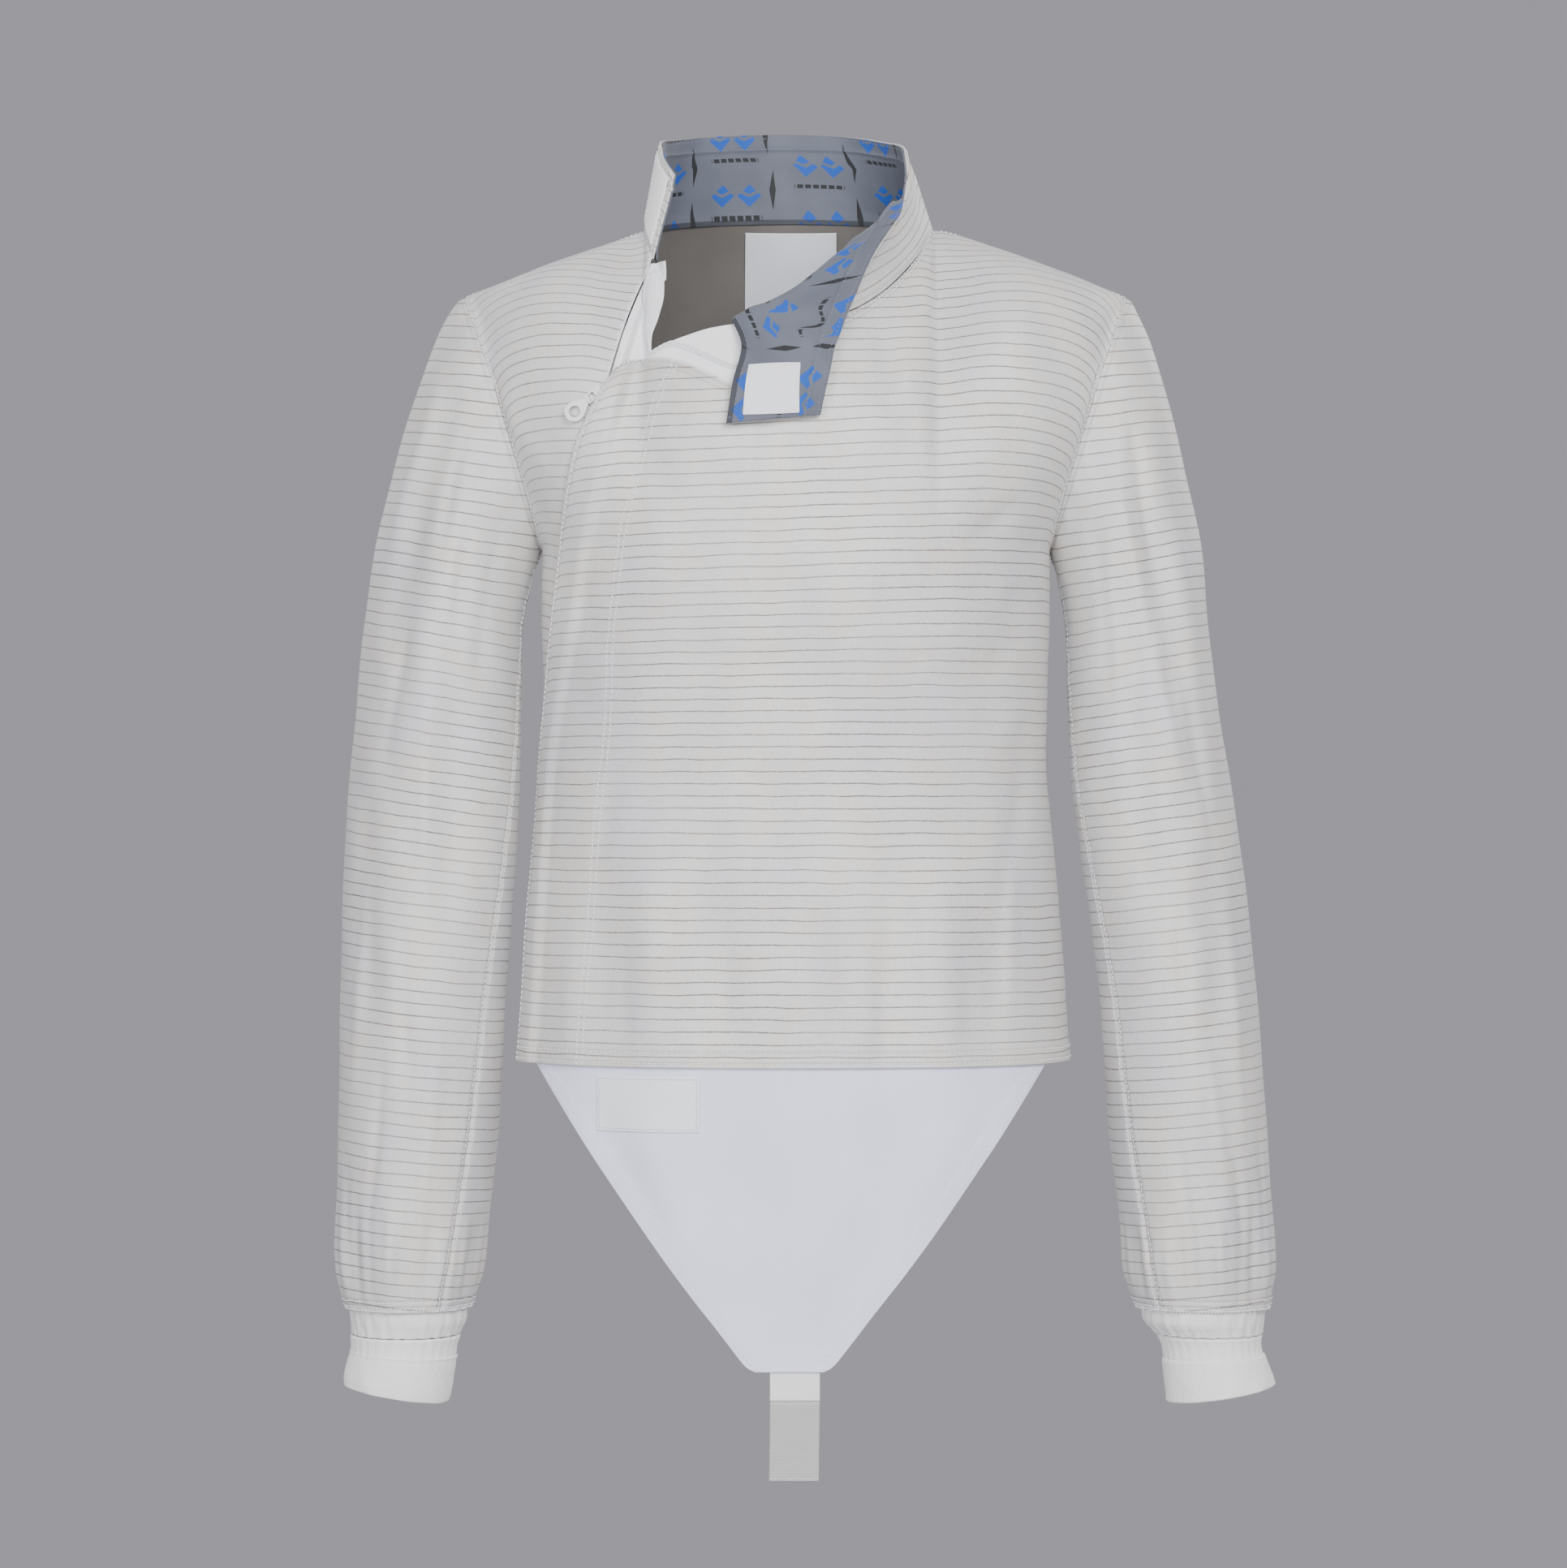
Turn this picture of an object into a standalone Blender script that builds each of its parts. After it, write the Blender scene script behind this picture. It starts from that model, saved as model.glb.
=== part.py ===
# Sabre fencing lame, filled out as it is worn.
# The front faces -Y, Z points up, and the wearer's right is -X.
# The origin is the middle of the neck's base, where the shoulders hold the garment.
# Sizes are millimetres. The meshes are made in metres.

import math
from collections import namedtuple

import bmesh
import bpy
import numpy as np
from mathutils import Matrix, Vector

MM = 0.001
SEAM = 0.3
CLOTH = 2.0
LINING = 1.0
LINING_GAP = 0.7
LINING_SKIP = 3
LINING_TRIM = 0.15
BAND = 1.3
LABEL = 0.6
LABEL_LIFT = 0.6
KNIT = 2.2

# Torso
HEM_Z = -482.0
ARMPIT_Z = -182.0
ARMPIT_X = 150.0
TIP_X = 196.5
TIP_Z = -32.0
ARMHOLE_FRONT = 50.0
ARMHOLE_BACK = 58.0
ARMHOLE_BOW = 3.0
BODY_ROUND = 2.4
SIDE_FALL = 2.0
SHOULDER_ROUND = 2.6
NECK_SLOPE_ROUND = 1.6
NECK_SLOPE_REACH = 60.0
SHOULDER_ARCH = -0.5
LOW_ROWS = 8
HIGH_ROWS = 14

# Neck
NECK_RIGHT = 88.0
NECK_LEFT = 80.0
NECK_FRONT = 80.0
NECK_BACK = 62.0
NECK_SIDE_Z = 8.0
NECK_FRONT_Z = -55.0
NECK_BACK_Z = 21.0
NECK_RIGHT_FULLNESS = 0.45

# Zip and placket
PLACKET_LIFT = 3.2
FLAP_INNER = 6.5
FLAP_SLOPE = 9.0
SLIDER_BULGE = 3.0
SLIDER_Z = -95.0
TAPE_TOP_Z = -17.0
CHAIN_WIDTH = 6.0
CHAIN_WALL = 1.4
TAPE_GAP = 0.9

# Apron and strap
APRON_TUCK = 12.0
APRON_BOTTOM_Z = -656.0
APRON_CORNER = 6.0
APRON_BOW = 3.5
APRON_LEAN = 8.0
APRON_SLACK = 0.4
STRAP_WIDTH = 29.0
STRAP_X = -0.5
STRAP_BOTTOM_Z = -718.5
STRAP_TAB_Z = -672.5

Section = namedtuple("Section", "z half front back")
TORSO = (
    Section(-482, 162.0, 100, 95),
    Section(-440, 159.5, 98, 92),
    Section(-390, 155.5, 96, 88),
    Section(-340, 150.5, 95, 86),
    Section(-300, 148.0, 96, 88),
    Section(-260, 148.5, 99, 93),
    Section(-220, 150.0, 103, 98),
    Section(-182, 150.0, 105, 100),
    Section(-150, 150.0, 105, 100),
)

Edge = namedtuple("Edge", "z right left")
SLEEVE_OUTER = (
    Edge(-627, 264.5, 279.0),
    Edge(-618, 267.6, 280.4),
    Edge(-606, 269.8, 281.8),
    Edge(-585, 270.8, 281.4),
    Edge(-533, 269.5, 278.5),
    Edge(-447, 268.5, 272.5),
    Edge(-360, 266.0, 263.0),
    Edge(-274, 259.0, 249.5),
    Edge(-231, 255.0, 244.0),
    Edge(-187, 249.0, 240.5),
    Edge(-130, 236.0, 229.0),
    Edge(-87, 223.0, 218.5),
    Edge(-58, 212.5, 209.5),
    Edge(-43, 205.0, 202.5),
    Edge(-32, 196.5, 196.5),
)
SLEEVE_INNER = (
    Edge(-627, 191.0, 201.0),
    Edge(-618, 188.8, 198.2),
    Edge(-606, 186.0, 195.5),
    Edge(-585, 182.5, 193.0),
    Edge(-533, 176.0, 186.0),
    Edge(-447, 171.0, 180.0),
    Edge(-360, 164.5, 168.5),
    Edge(-317, 162.5, 163.0),
    Edge(-274, 162.0, 161.0),
    Edge(-231, 161.5, 160.0),
    Edge(-200, 156.0, 155.5),
    Edge(-182, 150.0, 150.0),
)

# Half depths of the sleeve, by share of its length from armhole to wrist
Depth = namedtuple("Depth", "share front back")
SLEEVE_DEPTH = (
    Depth(0.0, 50, 58),
    Depth(0.15, 54, 57),
    Depth(0.35, 53, 54),
    Depth(0.6, 50, 50),
    Depth(0.85, 46, 46),
    Depth(0.94, 43, 43),
    Depth(1.0, 38, 38),
)

# Rings of the wrist: heights and distances from the middle, outer and inner side
Ring = namedtuple("Ring", "outer_z inner_z right_outer right_inner left_outer left_inner")
WRIST_LINING = (
    Ring(-616, -616, 260.6, 194.8, 275.4, 204.8),
    Ring(-634, -634, 260.6, 194.8, 275.4, 204.8),
    Ring(-643, -643, 260.0, 198.6, 274.6, 212.0),
)
CUFF = (
    Ring(-643.3, -643.3, 259.8, 199.0, 274.4, 212.6),
    Ring(-649.0, -650.0, 259.4, 201.2, 274.0, 215.6),
    Ring(-653.5, -655.5, 259.6, 201.8, 274.6, 216.4),
    Ring(-655.5, -658.5, 260.8, 201.4, 276.0, 216.2),
    Ring(-662.0, -668.0, 262.8, 202.8, 278.4, 217.0),
    Ring(-669.0, -678.0, 264.2, 204.6, 281.0, 218.0),
    Ring(-673.0, -683.0, 264.2, 206.0, 282.0, 218.4),
)

# Placket edge and zip line on the main front, as x for each height
Line = namedtuple("Line", "z placket zip")
CLOSURE = (
    Line(-482, -160.2, -156.5),
    Line(-400, -155.0, -151.5),
    Line(-300, -147.0, -143.5),
    Line(-208, -138.0, -131.0),
    Line(-130, -127.0, -118.0),
    Line(-94, -112.0, -109.5),
    Line(-80, -104.8, -106.0),
    Line(-52, -97.0, -98.0),
    Line(-12, -83.9, -83.2),
)

# The main front's open top edge, from the placket's corner to where it meets the neckline
Spot = namedtuple("Spot", "x z")
DROOP = (
    Spot(-104.8, -80.0),
    Spot(-101.8, -77.8),
    Spot(-98.7, -76.0),
    Spot(-90.5, -74.6),
    Spot(-78.0, -74.8),
    Spot(-64.5, -78.0),
    Spot(-50.0, -84.5),
    Spot(-35.0, -90.5),
    Spot(-20.0, -79.0),
    Spot(-5.0, -64.0),
)
NECK_COLUMNS = (8, 18, 30, 44, 60, 75, 90)
BACK_NECK_COLUMNS = (-90, -108, -126, -144, -162, 180, 162, 144, 126, 108, 90)
SHOULDER_COLUMNS = (100, 119, 140, 161, 181, TIP_X)
SIDE_SHOULDER_COLUMNS = (TIP_X, 175, 150, 126, 104)
SIDE_NECK_COLUMNS = (-90, -81, -72, -62)

# Upper edge of the white facing inside the open front
FACING_TOP = (
    Spot(-79.0, -67.2),
    Spot(-74.5, -65.5),
    Spot(-65.0, -62.0),
    Spot(-47.0, -56.5),
    Spot(-32.0, -54.5),
    Spot(-15.0, -56.5),
    Spot(0.0, -57.0),
)
FACING_TUCK = 14.0

# Folds: a line on the panel, its half width, and its height (a trough is negative)
Fold = namedtuple("Fold", "x0 z0 x1 z1 width height")
FRONT_FOLDS = (
    Fold(46, -40, 56, -98, 7, -4.5),
    Fold(62, -62, 72, -130, 9, 2.5),
    Fold(-70, -150, 70, -160, 26, -2.0),
    Fold(-142, -168, -112, -250, 10, -3.5),
    Fold(144, -172, 112, -262, 11, -4.5),
    Fold(150, -210, 132, -330, 12, -4.0),
    Fold(-109, -350, -112, -500, 12, -3.0),
    Fold(-84, -340, -82, -500, 14, 3.0),
    Fold(-51, -370, -52, -500, 12, -3.0),
    Fold(-6, -330, 0, -500, 24, 2.5),
    Fold(54, -360, 52, -500, 12, -3.5),
    Fold(84, -350, 86, -500, 14, 3.0),
    Fold(113, -370, 111, -500, 11, -3.0),
)
BACK_FOLDS = (
    Fold(-140, -165, -98, -240, 12, -4.0),
    Fold(142, -170, 104, -236, 12, -4.5),
    Fold(-60, -96, 62, -104, 24, 2.0),
    Fold(-96, -330, -100, -500, 13, -3.5),
    Fold(-62, -300, -60, -500, 16, 3.0),
    Fold(-24, -350, -26, -500, 12, -3.0),
    Fold(28, -320, 30, -500, 17, 3.0),
    Fold(70, -340, 74, -500, 13, -3.5),
    Fold(108, -360, 110, -500, 12, 3.0),
)

# Sleeve creases: angle round the sleeve from the armpit over the front, share of its length
Crease = namedtuple("Crease", "angle0 share0 angle1 share1 width height")
RIGHT_CREASES = (
    Crease(118, 0.02, 130, 0.34, 13, -4.0),
    Crease(92, 0.05, 104, 0.5, 14, 2.5),
    Crease(78, 0.22, 70, 0.62, 12, -3.0),
    Crease(140, 0.45, 118, 0.78, 13, -2.5),
    Crease(250, 0.04, 236, 0.4, 16, -4.0),
    Crease(275, 0.4, 262, 0.8, 16, -3.0),
)
LEFT_CREASES = (
    Crease(104, 0.06, 116, 0.36, 13, -4.0),
    Crease(128, 0.2, 140, 0.5, 13, 2.5),
    Crease(84, 0.12, 74, 0.56, 12, -3.0),
    Crease(122, 0.5, 108, 0.8, 13, -2.5),
    Crease(244, 0.06, 232, 0.42, 16, -4.0),
    Crease(268, 0.42, 258, 0.82, 16, -3.0),
)
GATHERS = 7
GATHER_HEIGHT = 2.0
SLEEVE_RINGS = 16
SLEEVE_FORWARD = 12.0
RIGHT_SEAM_TURN = 55.0
LEFT_SEAM_TURN = 46.0

# The collar band. Each row gives where the band's top or fold lies, and its free edge,
# for an angle round the neck: 0 is the front, 90 the wearer's left, 180 the back.
Band = namedtuple("Band", "angle fold_x fold_y fold_z edge_x edge_y edge_z")
COLLAR = (
    Band(-60, -70, -30, 36, -70, -30, 36),
    Band(-75, -77, -12, 49, -77, -12, 49),
    Band(-90, -79, 5, 60, -79, 5, 60),
    Band(-120, -69, 35, 66, -69, 35, 66),
    Band(-150, -42, 54, 71, -42, 54, 71),
    Band(-180, -8, 62, 73, -8, 62, 73),
    Band(-210, 25, 55, 71, 25, 55, 71),
    Band(-240, 50, 35, 65, 50, 35, 65),
    Band(-270, 64, 5, 56, 64, 5, 56),
    Band(-290, 65, -10, 41, 65, -10, 41),
    Band(-310, 57.5, -28.5, 20.5, 62, -36, 14.5),
    Band(-321, 43, -52, 4, 55, -58, 1),
    Band(-332, 26, -68, -11, 46, -76, -14),
    Band(-348, -2, -80, -35, 33, -85, -43),
    Band(-368, -25, -85, -47.5, 22, -96, -72),
)
# The free tab beyond the neckline, from its lower edge to the band's free edge
Tab = namedtuple("Tab", "low_x low_y low_z edge_x edge_y edge_z")
TAB = (
    Tab(-31, -93, -70, 20, -100.5, -83),
    Tab(-36, -102, -92, 17, -103, -96),
    Tab(-39.5, -105.5, -115.5, 14, -104.5, -110.5),
)
COLLAR_SECTIONS = 34
COLLAR_LEVELS = (0, 0.35, 0.7, 0.88, 1.0, 1.12, 1.35, 1.68, 2.0)
BAND_FOOT = 1.3
STANDING_SHARE = 0.62
TAB_FOLD_SHARE = 0.08
FOLD_EASE = 5.0

# Where the patches lie on the band: section shares, then levels
Patch = namedtuple("Patch", "start end low high")
LOOP = Patch(0.012, 0.095, 0.16, 1.74)
HOOK = Patch(0.885, 0.985, 1.1, 1.82)

APRON_SIDES = (Spot(-153.0, HEM_Z), Spot(-27.0, APRON_BOTTOM_Z), Spot(19.5, APRON_BOTTOM_Z), Spot(147.0, HEM_Z))
APRON_LABEL = (-115.0, -55.0, -519.0, -487.0)
NECK_LABEL = (-31.0, 26.0, -46.0, 15.0)

# Pull tab
PULL_HINGE = (-119.0, -100.0)
PULL_TURN = 48.0
PULL_LENGTH = 16.0
PULL_RING = 5.9
PULL_HOLE = 3.4
PULL_WALL = 1.4
PULL_NECK = 3.0
PIN_RADIUS = 0.6
PIN_CLEAR = 0.35
BARREL_RADIUS = 1.4
HINGE_HEIGHT = 1.8
EAR_WIDTH = 0.9
SLIDER_WIDTH = 8.0
SLIDER_LENGTH = 13.0

SILVER = (0.60, 0.585, 0.555)
WHITE = (0.86, 0.87, 0.90)
OFF_WHITE = (0.72, 0.72, 0.69)
GREY_BLUE = (0.36, 0.39, 0.46)
ENAMEL = (0.88, 0.89, 0.90)


def lerp(a, b, t):
    return a + (b - a) * t


def smoothstep(t):
    t = np.clip(t, 0.0, 1.0)
    return t * t * (3 - 2 * t)


class Curve:
    """A smooth curve through the rows of a table, without overshoot."""

    def __init__(self, keys, values):
        self.x = np.array(keys, float)
        self.y = np.array(values, float)
        step = np.diff(self.x)
        rise = np.diff(self.y) / step
        self.m = np.empty(len(self.x))
        self.m[0], self.m[-1] = rise[0], rise[-1]
        for i in range(1, len(rise)):
            before, after = rise[i - 1], rise[i]
            if before * after <= 0:
                self.m[i] = 0.0
                continue
            weight = 2 * step[i] + step[i - 1]
            other = step[i] + 2 * step[i - 1]
            self.m[i] = (weight + other) / (weight / before + other / after)

    def __call__(self, x):
        x = np.clip(x, self.x[0], self.x[-1])
        i = np.clip(np.searchsorted(self.x, x, side="right") - 1, 0, len(self.x) - 2)
        step = self.x[i + 1] - self.x[i]
        t = (x - self.x[i]) / step
        a = (1 + 2 * t) * (1 - t) ** 2 * self.y[i] + t * (1 - t) ** 2 * step * self.m[i]
        b = t * t * (3 - 2 * t) * self.y[i + 1] + t * t * (t - 1) * step * self.m[i + 1]
        return a + b


def column(rows, key, value):
    return Curve([getattr(r, key) for r in rows], [getattr(r, value) for r in rows])


torso_half = column(TORSO, "z", "half")
torso_front = column(TORSO, "z", "front")
torso_back = column(TORSO, "z", "back")
placket_x = column(CLOSURE, "z", "placket")
zip_x = column(CLOSURE, "z", "zip")
depth_front = column(SLEEVE_DEPTH, "share", "front")
depth_back = column(SLEEVE_DEPTH, "share", "back")
facing_top = column(FACING_TOP, "x", "z")
droop_z = column(DROOP, "x", "z")


def armhole_angle(z):
    """0 at the armpit, pi at the shoulder tip."""
    share = min(max((z - ARMPIT_Z) / (TIP_Z - ARMPIT_Z), 0.0), 1.0)
    return math.acos(1 - 2 * share)


def side_x(z):
    """Half width of the body at the side seam or the armhole."""
    if z <= ARMPIT_Z:
        return float(torso_half(z))
    angle = armhole_angle(z)
    return lerp(ARMPIT_X, TIP_X, (1 - math.cos(angle)) / 2) - ARMHOLE_BOW * math.sin(angle)


def shoulder_z(x):
    t = (abs(x) - NECK_RIGHT) / (TIP_X - NECK_RIGHT)
    t = min(max(t, 0.0), 1.0)
    return lerp(NECK_SIDE_Z, TIP_Z, t) + SHOULDER_ARCH * math.sin(math.pi * t)


def neck_point(degrees):
    """Point of the neckline seam."""
    s, c = math.sin(math.radians(degrees)), math.cos(math.radians(degrees))
    reach = NECK_LEFT if s > 0 else NECK_RIGHT
    fullness = NECK_RIGHT_FULLNESS if s < 0 < c else 1.0
    x = math.copysign(reach * abs(s) ** fullness, s)
    if c > 0:
        return x, -NECK_FRONT * c, lerp(NECK_SIDE_Z, NECK_FRONT_Z, c ** 1.5)
    return x, -NECK_BACK * c, lerp(NECK_SIDE_Z, NECK_BACK_Z, -c)


def rim(x, front):
    """Height and depth of the neckline or shoulder line above a point, and the two powers
    that say how squarely the panel turns over it."""
    reach = NECK_LEFT if x > 0 else NECK_RIGHT
    if abs(x) >= reach:
        power = lerp(NECK_SLOPE_ROUND, SHOULDER_ROUND, smoothstep((abs(x) - reach) / NECK_SLOPE_REACH))
        return shoulder_z(x), 0.0, power, 1 / power
    fullness = NECK_RIGHT_FULLNESS if x < 0 and front else 1.0
    degrees = math.degrees(math.asin((abs(x) / reach) ** (1 / fullness)))
    if not front:
        degrees = 180 - degrees
    point = neck_point(math.copysign(degrees, x))
    share = (abs(x) / reach) ** 3
    power = lerp(SHOULDER_ROUND, NECK_SLOPE_ROUND, share)
    return point[2], abs(point[1]), power, lerp(1.0, 1 / NECK_SLOPE_ROUND, share)


def fold_height(x, z, folds):
    total = 0.0
    for f in folds:
        dx, dz = f.x1 - f.x0, f.z1 - f.z0
        length = math.hypot(dx, dz)
        along = ((x - f.x0) * dx + (z - f.z0) * dz) / length ** 2
        if not 0 < along < 1:
            continue
        across = ((x - f.x0) * dz - (z - f.z0) * dx) / length
        total += f.height * math.sin(math.pi * along) * math.exp(-((across / f.width) ** 2))
    return total


def body_point(x, z, front=True):
    """Point of the body's outer face."""
    half = side_x(z)
    across = max(1 - min(abs(x) / half, 1.0) ** BODY_ROUND, 0.0) ** (1 / BODY_ROUND)
    low = min(z, ARMPIT_Z)
    depth = float(torso_front(low) if front else torso_back(low))
    edge = 0.0
    if ARMPIT_Z < z < TIP_Z:
        edge = (ARMHOLE_FRONT if front else ARMHOLE_BACK) * math.sin(armhole_angle(z))
    top_z, top_y, power, ease = rim(x, front)
    top_half = side_x(top_z)
    top_across = max(1 - min(abs(x) / top_half, 1.0) ** BODY_ROUND, 0.0) ** (1 / BODY_ROUND)
    top_edge = 0.0
    if ARMPIT_Z < top_z < TIP_Z:
        top_edge = (ARMHOLE_FRONT if front else ARMHOLE_BACK) * math.sin(armhole_angle(top_z))
    top = (top_y - top_edge * (1 - top_across) ** SIDE_FALL) / max(top_across, 0.05)
    share = min(max((z - ARMPIT_Z) / (top_z - ARMPIT_Z), 0.0), 1.0)
    drop = 1 - (1 - share ** power) ** ease
    y = edge * (1 - across) ** SIDE_FALL + lerp(depth, top, drop) * across
    y += fold_height(x, z, FRONT_FOLDS if front else BACK_FOLDS) * across * (1 - drop)
    return x, (-y if front else y), z


def from_zip(x, z):
    """Distance round the body from the zip line, positive toward the wearer's left."""
    here, line = body_point(x, z), body_point(float(zip_x(z)), z)
    return math.copysign(math.hypot(here[0] - line[0], here[1] - line[1]), x - line[0])


def beside_zip(z, distance):
    """x of the point at a distance from the zip line."""
    low, high = float(zip_x(z)) - 1, float(zip_x(z)) + abs(distance) * 1.5 + 1
    for _ in range(30):
        middle = (low + high) / 2
        if from_zip(middle, z) < distance:
            low = middle
        else:
            high = middle
    return low


def placket_lift(x, z):
    """How far the main front stands off the side front near the placket."""
    away = from_zip(x, z)
    lift = PLACKET_LIFT * (1 - smoothstep((away - FLAP_INNER) / FLAP_SLOPE))
    bulge = math.exp(-(((z - SLIDER_Z) / 13) ** 2)) * (1 - smoothstep((away - FLAP_INNER) / FLAP_SLOPE))
    return float(lift + SLIDER_BULGE * bulge)


def grid_normals(points, toward):
    """Unit normals of a grid of points. The vector toward(row, column) picks their side."""
    down = np.gradient(points, axis=0)
    along = np.gradient(points, axis=1)
    normals = np.cross(down, along)
    size = np.linalg.norm(normals, axis=2, keepdims=True)
    normals = normals / np.maximum(size, 1e-9)
    middle = points.shape[0] // 2, points.shape[1] // 2
    if np.dot(normals[middle], toward) < 0:
        normals = -normals
    return normals


class Surface:
    """The faceted outer face of a panel, to lay other pieces on."""

    def __init__(self, points, normals):
        corners = []
        for grid in (points, normals):
            a, b = grid[:-1, :-1], grid[:-1, 1:]
            c, d = grid[1:, 1:], grid[1:, :-1]
            first = np.stack((a, b, c), axis=2).reshape(-1, 3, 3)
            second = np.stack((a, c, d), axis=2).reshape(-1, 3, 3)
            corners.append(np.concatenate((first, second)))
        self.points, self.normals = corners

    def at(self, x, z):
        """Point and normal of the facet in front of or behind a point of the x-z plane."""
        a, b, c = (self.points[:, k][:, (0, 2)] for k in range(3))
        ab, ac, ap = b - a, c - a, np.array((x, z)) - a
        area = ab[:, 0] * ac[:, 1] - ab[:, 1] * ac[:, 0]
        area = np.where(np.abs(area) < 1e-9, 1e-9, area)
        v = (ap[:, 0] * ac[:, 1] - ap[:, 1] * ac[:, 0]) / area
        w = (ab[:, 0] * ap[:, 1] - ab[:, 1] * ap[:, 0]) / area
        weights = np.stack((1 - v - w, v, w), axis=1)
        best = np.argmax(weights.min(axis=1))
        share = weights[best]
        return share @ self.points[best], share @ self.normals[best]


def surface_patch(name, surface, xs, zs, depth, thickness, look, home):
    """A thin piece that follows a panel's facets at a depth under its outer face."""
    found = [[surface.at(x, z) for x, z in zip(*row)] for row in zip(xs, zs)]
    points = np.array([[point for point, _ in row] for row in found])
    normals = np.array([[normal for _, normal in row] for row in found])
    inner = points - normals * (depth + thickness)
    wall(name, points - normals * depth, inner, look, home)
    return Surface(inner, normals)


def collection(name):
    found = bpy.data.collections.new(name)
    bpy.context.scene.collection.children.link(found)
    return found


def material(name, colour, roughness, metallic=0.0):
    made = bpy.data.materials.new(name)
    made.use_nodes = True
    shader = made.node_tree.nodes["Principled BSDF"]
    shader.inputs["Base Color"].default_value = (*colour, 1.0)
    shader.inputs["Roughness"].default_value = roughness
    shader.inputs["Metallic"].default_value = metallic
    return made


def add_mesh(name, bm, look, home):
    bmesh.ops.recalc_face_normals(bm, faces=bm.faces)
    mesh = bpy.data.meshes.new(name)
    bm.to_mesh(mesh)
    bm.free()
    mesh.materials.append(look)
    mesh.shade_smooth()
    mesh.set_sharp_from_angle(angle=math.radians(40))
    made = bpy.data.objects.new(name, mesh)
    home.objects.link(made)
    return made


def wall(name, outer, inner, look, home, closed=False):
    """A closed wall between two grids of points. A closed one runs round a tube."""
    rows, columns = outer.shape[:2]
    bm = bmesh.new()
    faces = []
    sides = [[[bm.verts.new(p * MM) for p in row] for row in grid] for grid in (outer, inner)]
    spans = columns if closed else columns - 1
    for i in range(rows - 1):
        for j in range(spans):
            k = (j + 1) % columns
            for side in sides:
                faces.append((side[i][j], side[i][k], side[i + 1][k]))
                faces.append((side[i][j], side[i + 1][k], side[i + 1][j]))
    near, far = sides
    for j in range(spans):
        k = (j + 1) % columns
        for i in (0, rows - 1):
            faces.append((near[i][j], near[i][k], far[i][k], far[i][j]))
    if not closed:
        for i in range(rows - 1):
            for j in (0, columns - 1):
                faces.append((near[i][j], near[i + 1][j], far[i + 1][j], far[i][j]))
    for face in faces:
        bm.faces.new(face)
    return add_mesh(name, bm, look, home)


def armhole_normal(angle, front, side):
    """Direction out of the wall that body and sleeve share at the armhole seam."""
    depth = -math.sin(angle) if front else math.sin(angle)
    lean = 0.8 * math.sqrt((1 - math.cos(angle)) / 2)
    normal = np.array((side * lean, depth, -math.cos(angle)))
    return normal / np.linalg.norm(normal)


def armhole_point(angle, front, side):
    share = (1 - math.cos(angle)) / 2
    depth = ARMHOLE_FRONT if front else ARMHOLE_BACK
    x = lerp(ARMPIT_X, TIP_X, share) - ARMHOLE_BOW * math.sin(angle)
    y = (-depth if front else depth) * math.sin(angle)
    return np.array((side * x, y, lerp(ARMPIT_Z, TIP_Z, share)))


def armhole_across(angle, front, side):
    """Direction over the armhole seam, from the body to the sleeve."""
    step = 0.01
    low = armhole_point(max(angle - step, 0.0), front, side)
    high = armhole_point(min(angle + step, math.pi), front, side)
    if angle < step:
        low = armhole_point(step, not front, side)
    if angle > math.pi - step:
        high = armhole_point(math.pi - step, not front, side)
    across = np.cross(high - low, armhole_normal(angle, front, side))
    across /= np.linalg.norm(across)
    return across if across[0] * side > 0 else -across


def panel_levels():
    """Rows of a body panel: heights below the armpit, then angles up the armhole."""
    low = [("low", lerp(HEM_Z, ARMPIT_Z, i / LOW_ROWS)) for i in range(LOW_ROWS)]
    high = [("high", math.pi * i / HIGH_ROWS) for i in range(HIGH_ROWS + 1)]
    return low + high


def panel(tops, front, lines=(), right_edge=None):
    """Outer points of a body panel. tops lists where each column ends, as x and height.
    The first columns follow lines, which give x at a height. The others spread from the
    last line, or the side, to the right edge or the other side."""
    rows = []
    first = max(len(lines) - 1, 0)

    def edges(z):
        start = lines[-1](z) if lines else -side_x(z)
        return start, float(right_edge(z)) if right_edge else side_x(z)

    for kind, value in panel_levels():
        row = []
        share = 0.0 if kind == "low" else (1 - math.cos(value)) / 2
        for j, (top_x, top_z) in enumerate(tops):
            z = value if kind == "low" else lerp(ARMPIT_Z, top_z, share)
            if j < len(lines):
                row.append(body_point(lines[j](z), z, front))
                continue
            start, end = edges(z)
            turns = [math.asin(np.clip(x / side_x(z), -1, 1)) for x in (start, end)]
            round_x = side_x(z) * math.sin(lerp(*turns, (j - first) / (len(tops) - 1 - first)))
            low_share = (round_x - start) / (end - start)
            top_start, top_end = edges(top_z)
            top_share = (top_x - top_start) / (top_end - top_start)
            x = lerp(start, end, lerp(low_share, min(top_share, 1.0), share ** 1.5))
            row.append(body_point(x, z, front))
        rows.append(row)
    return np.array(rows)


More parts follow.
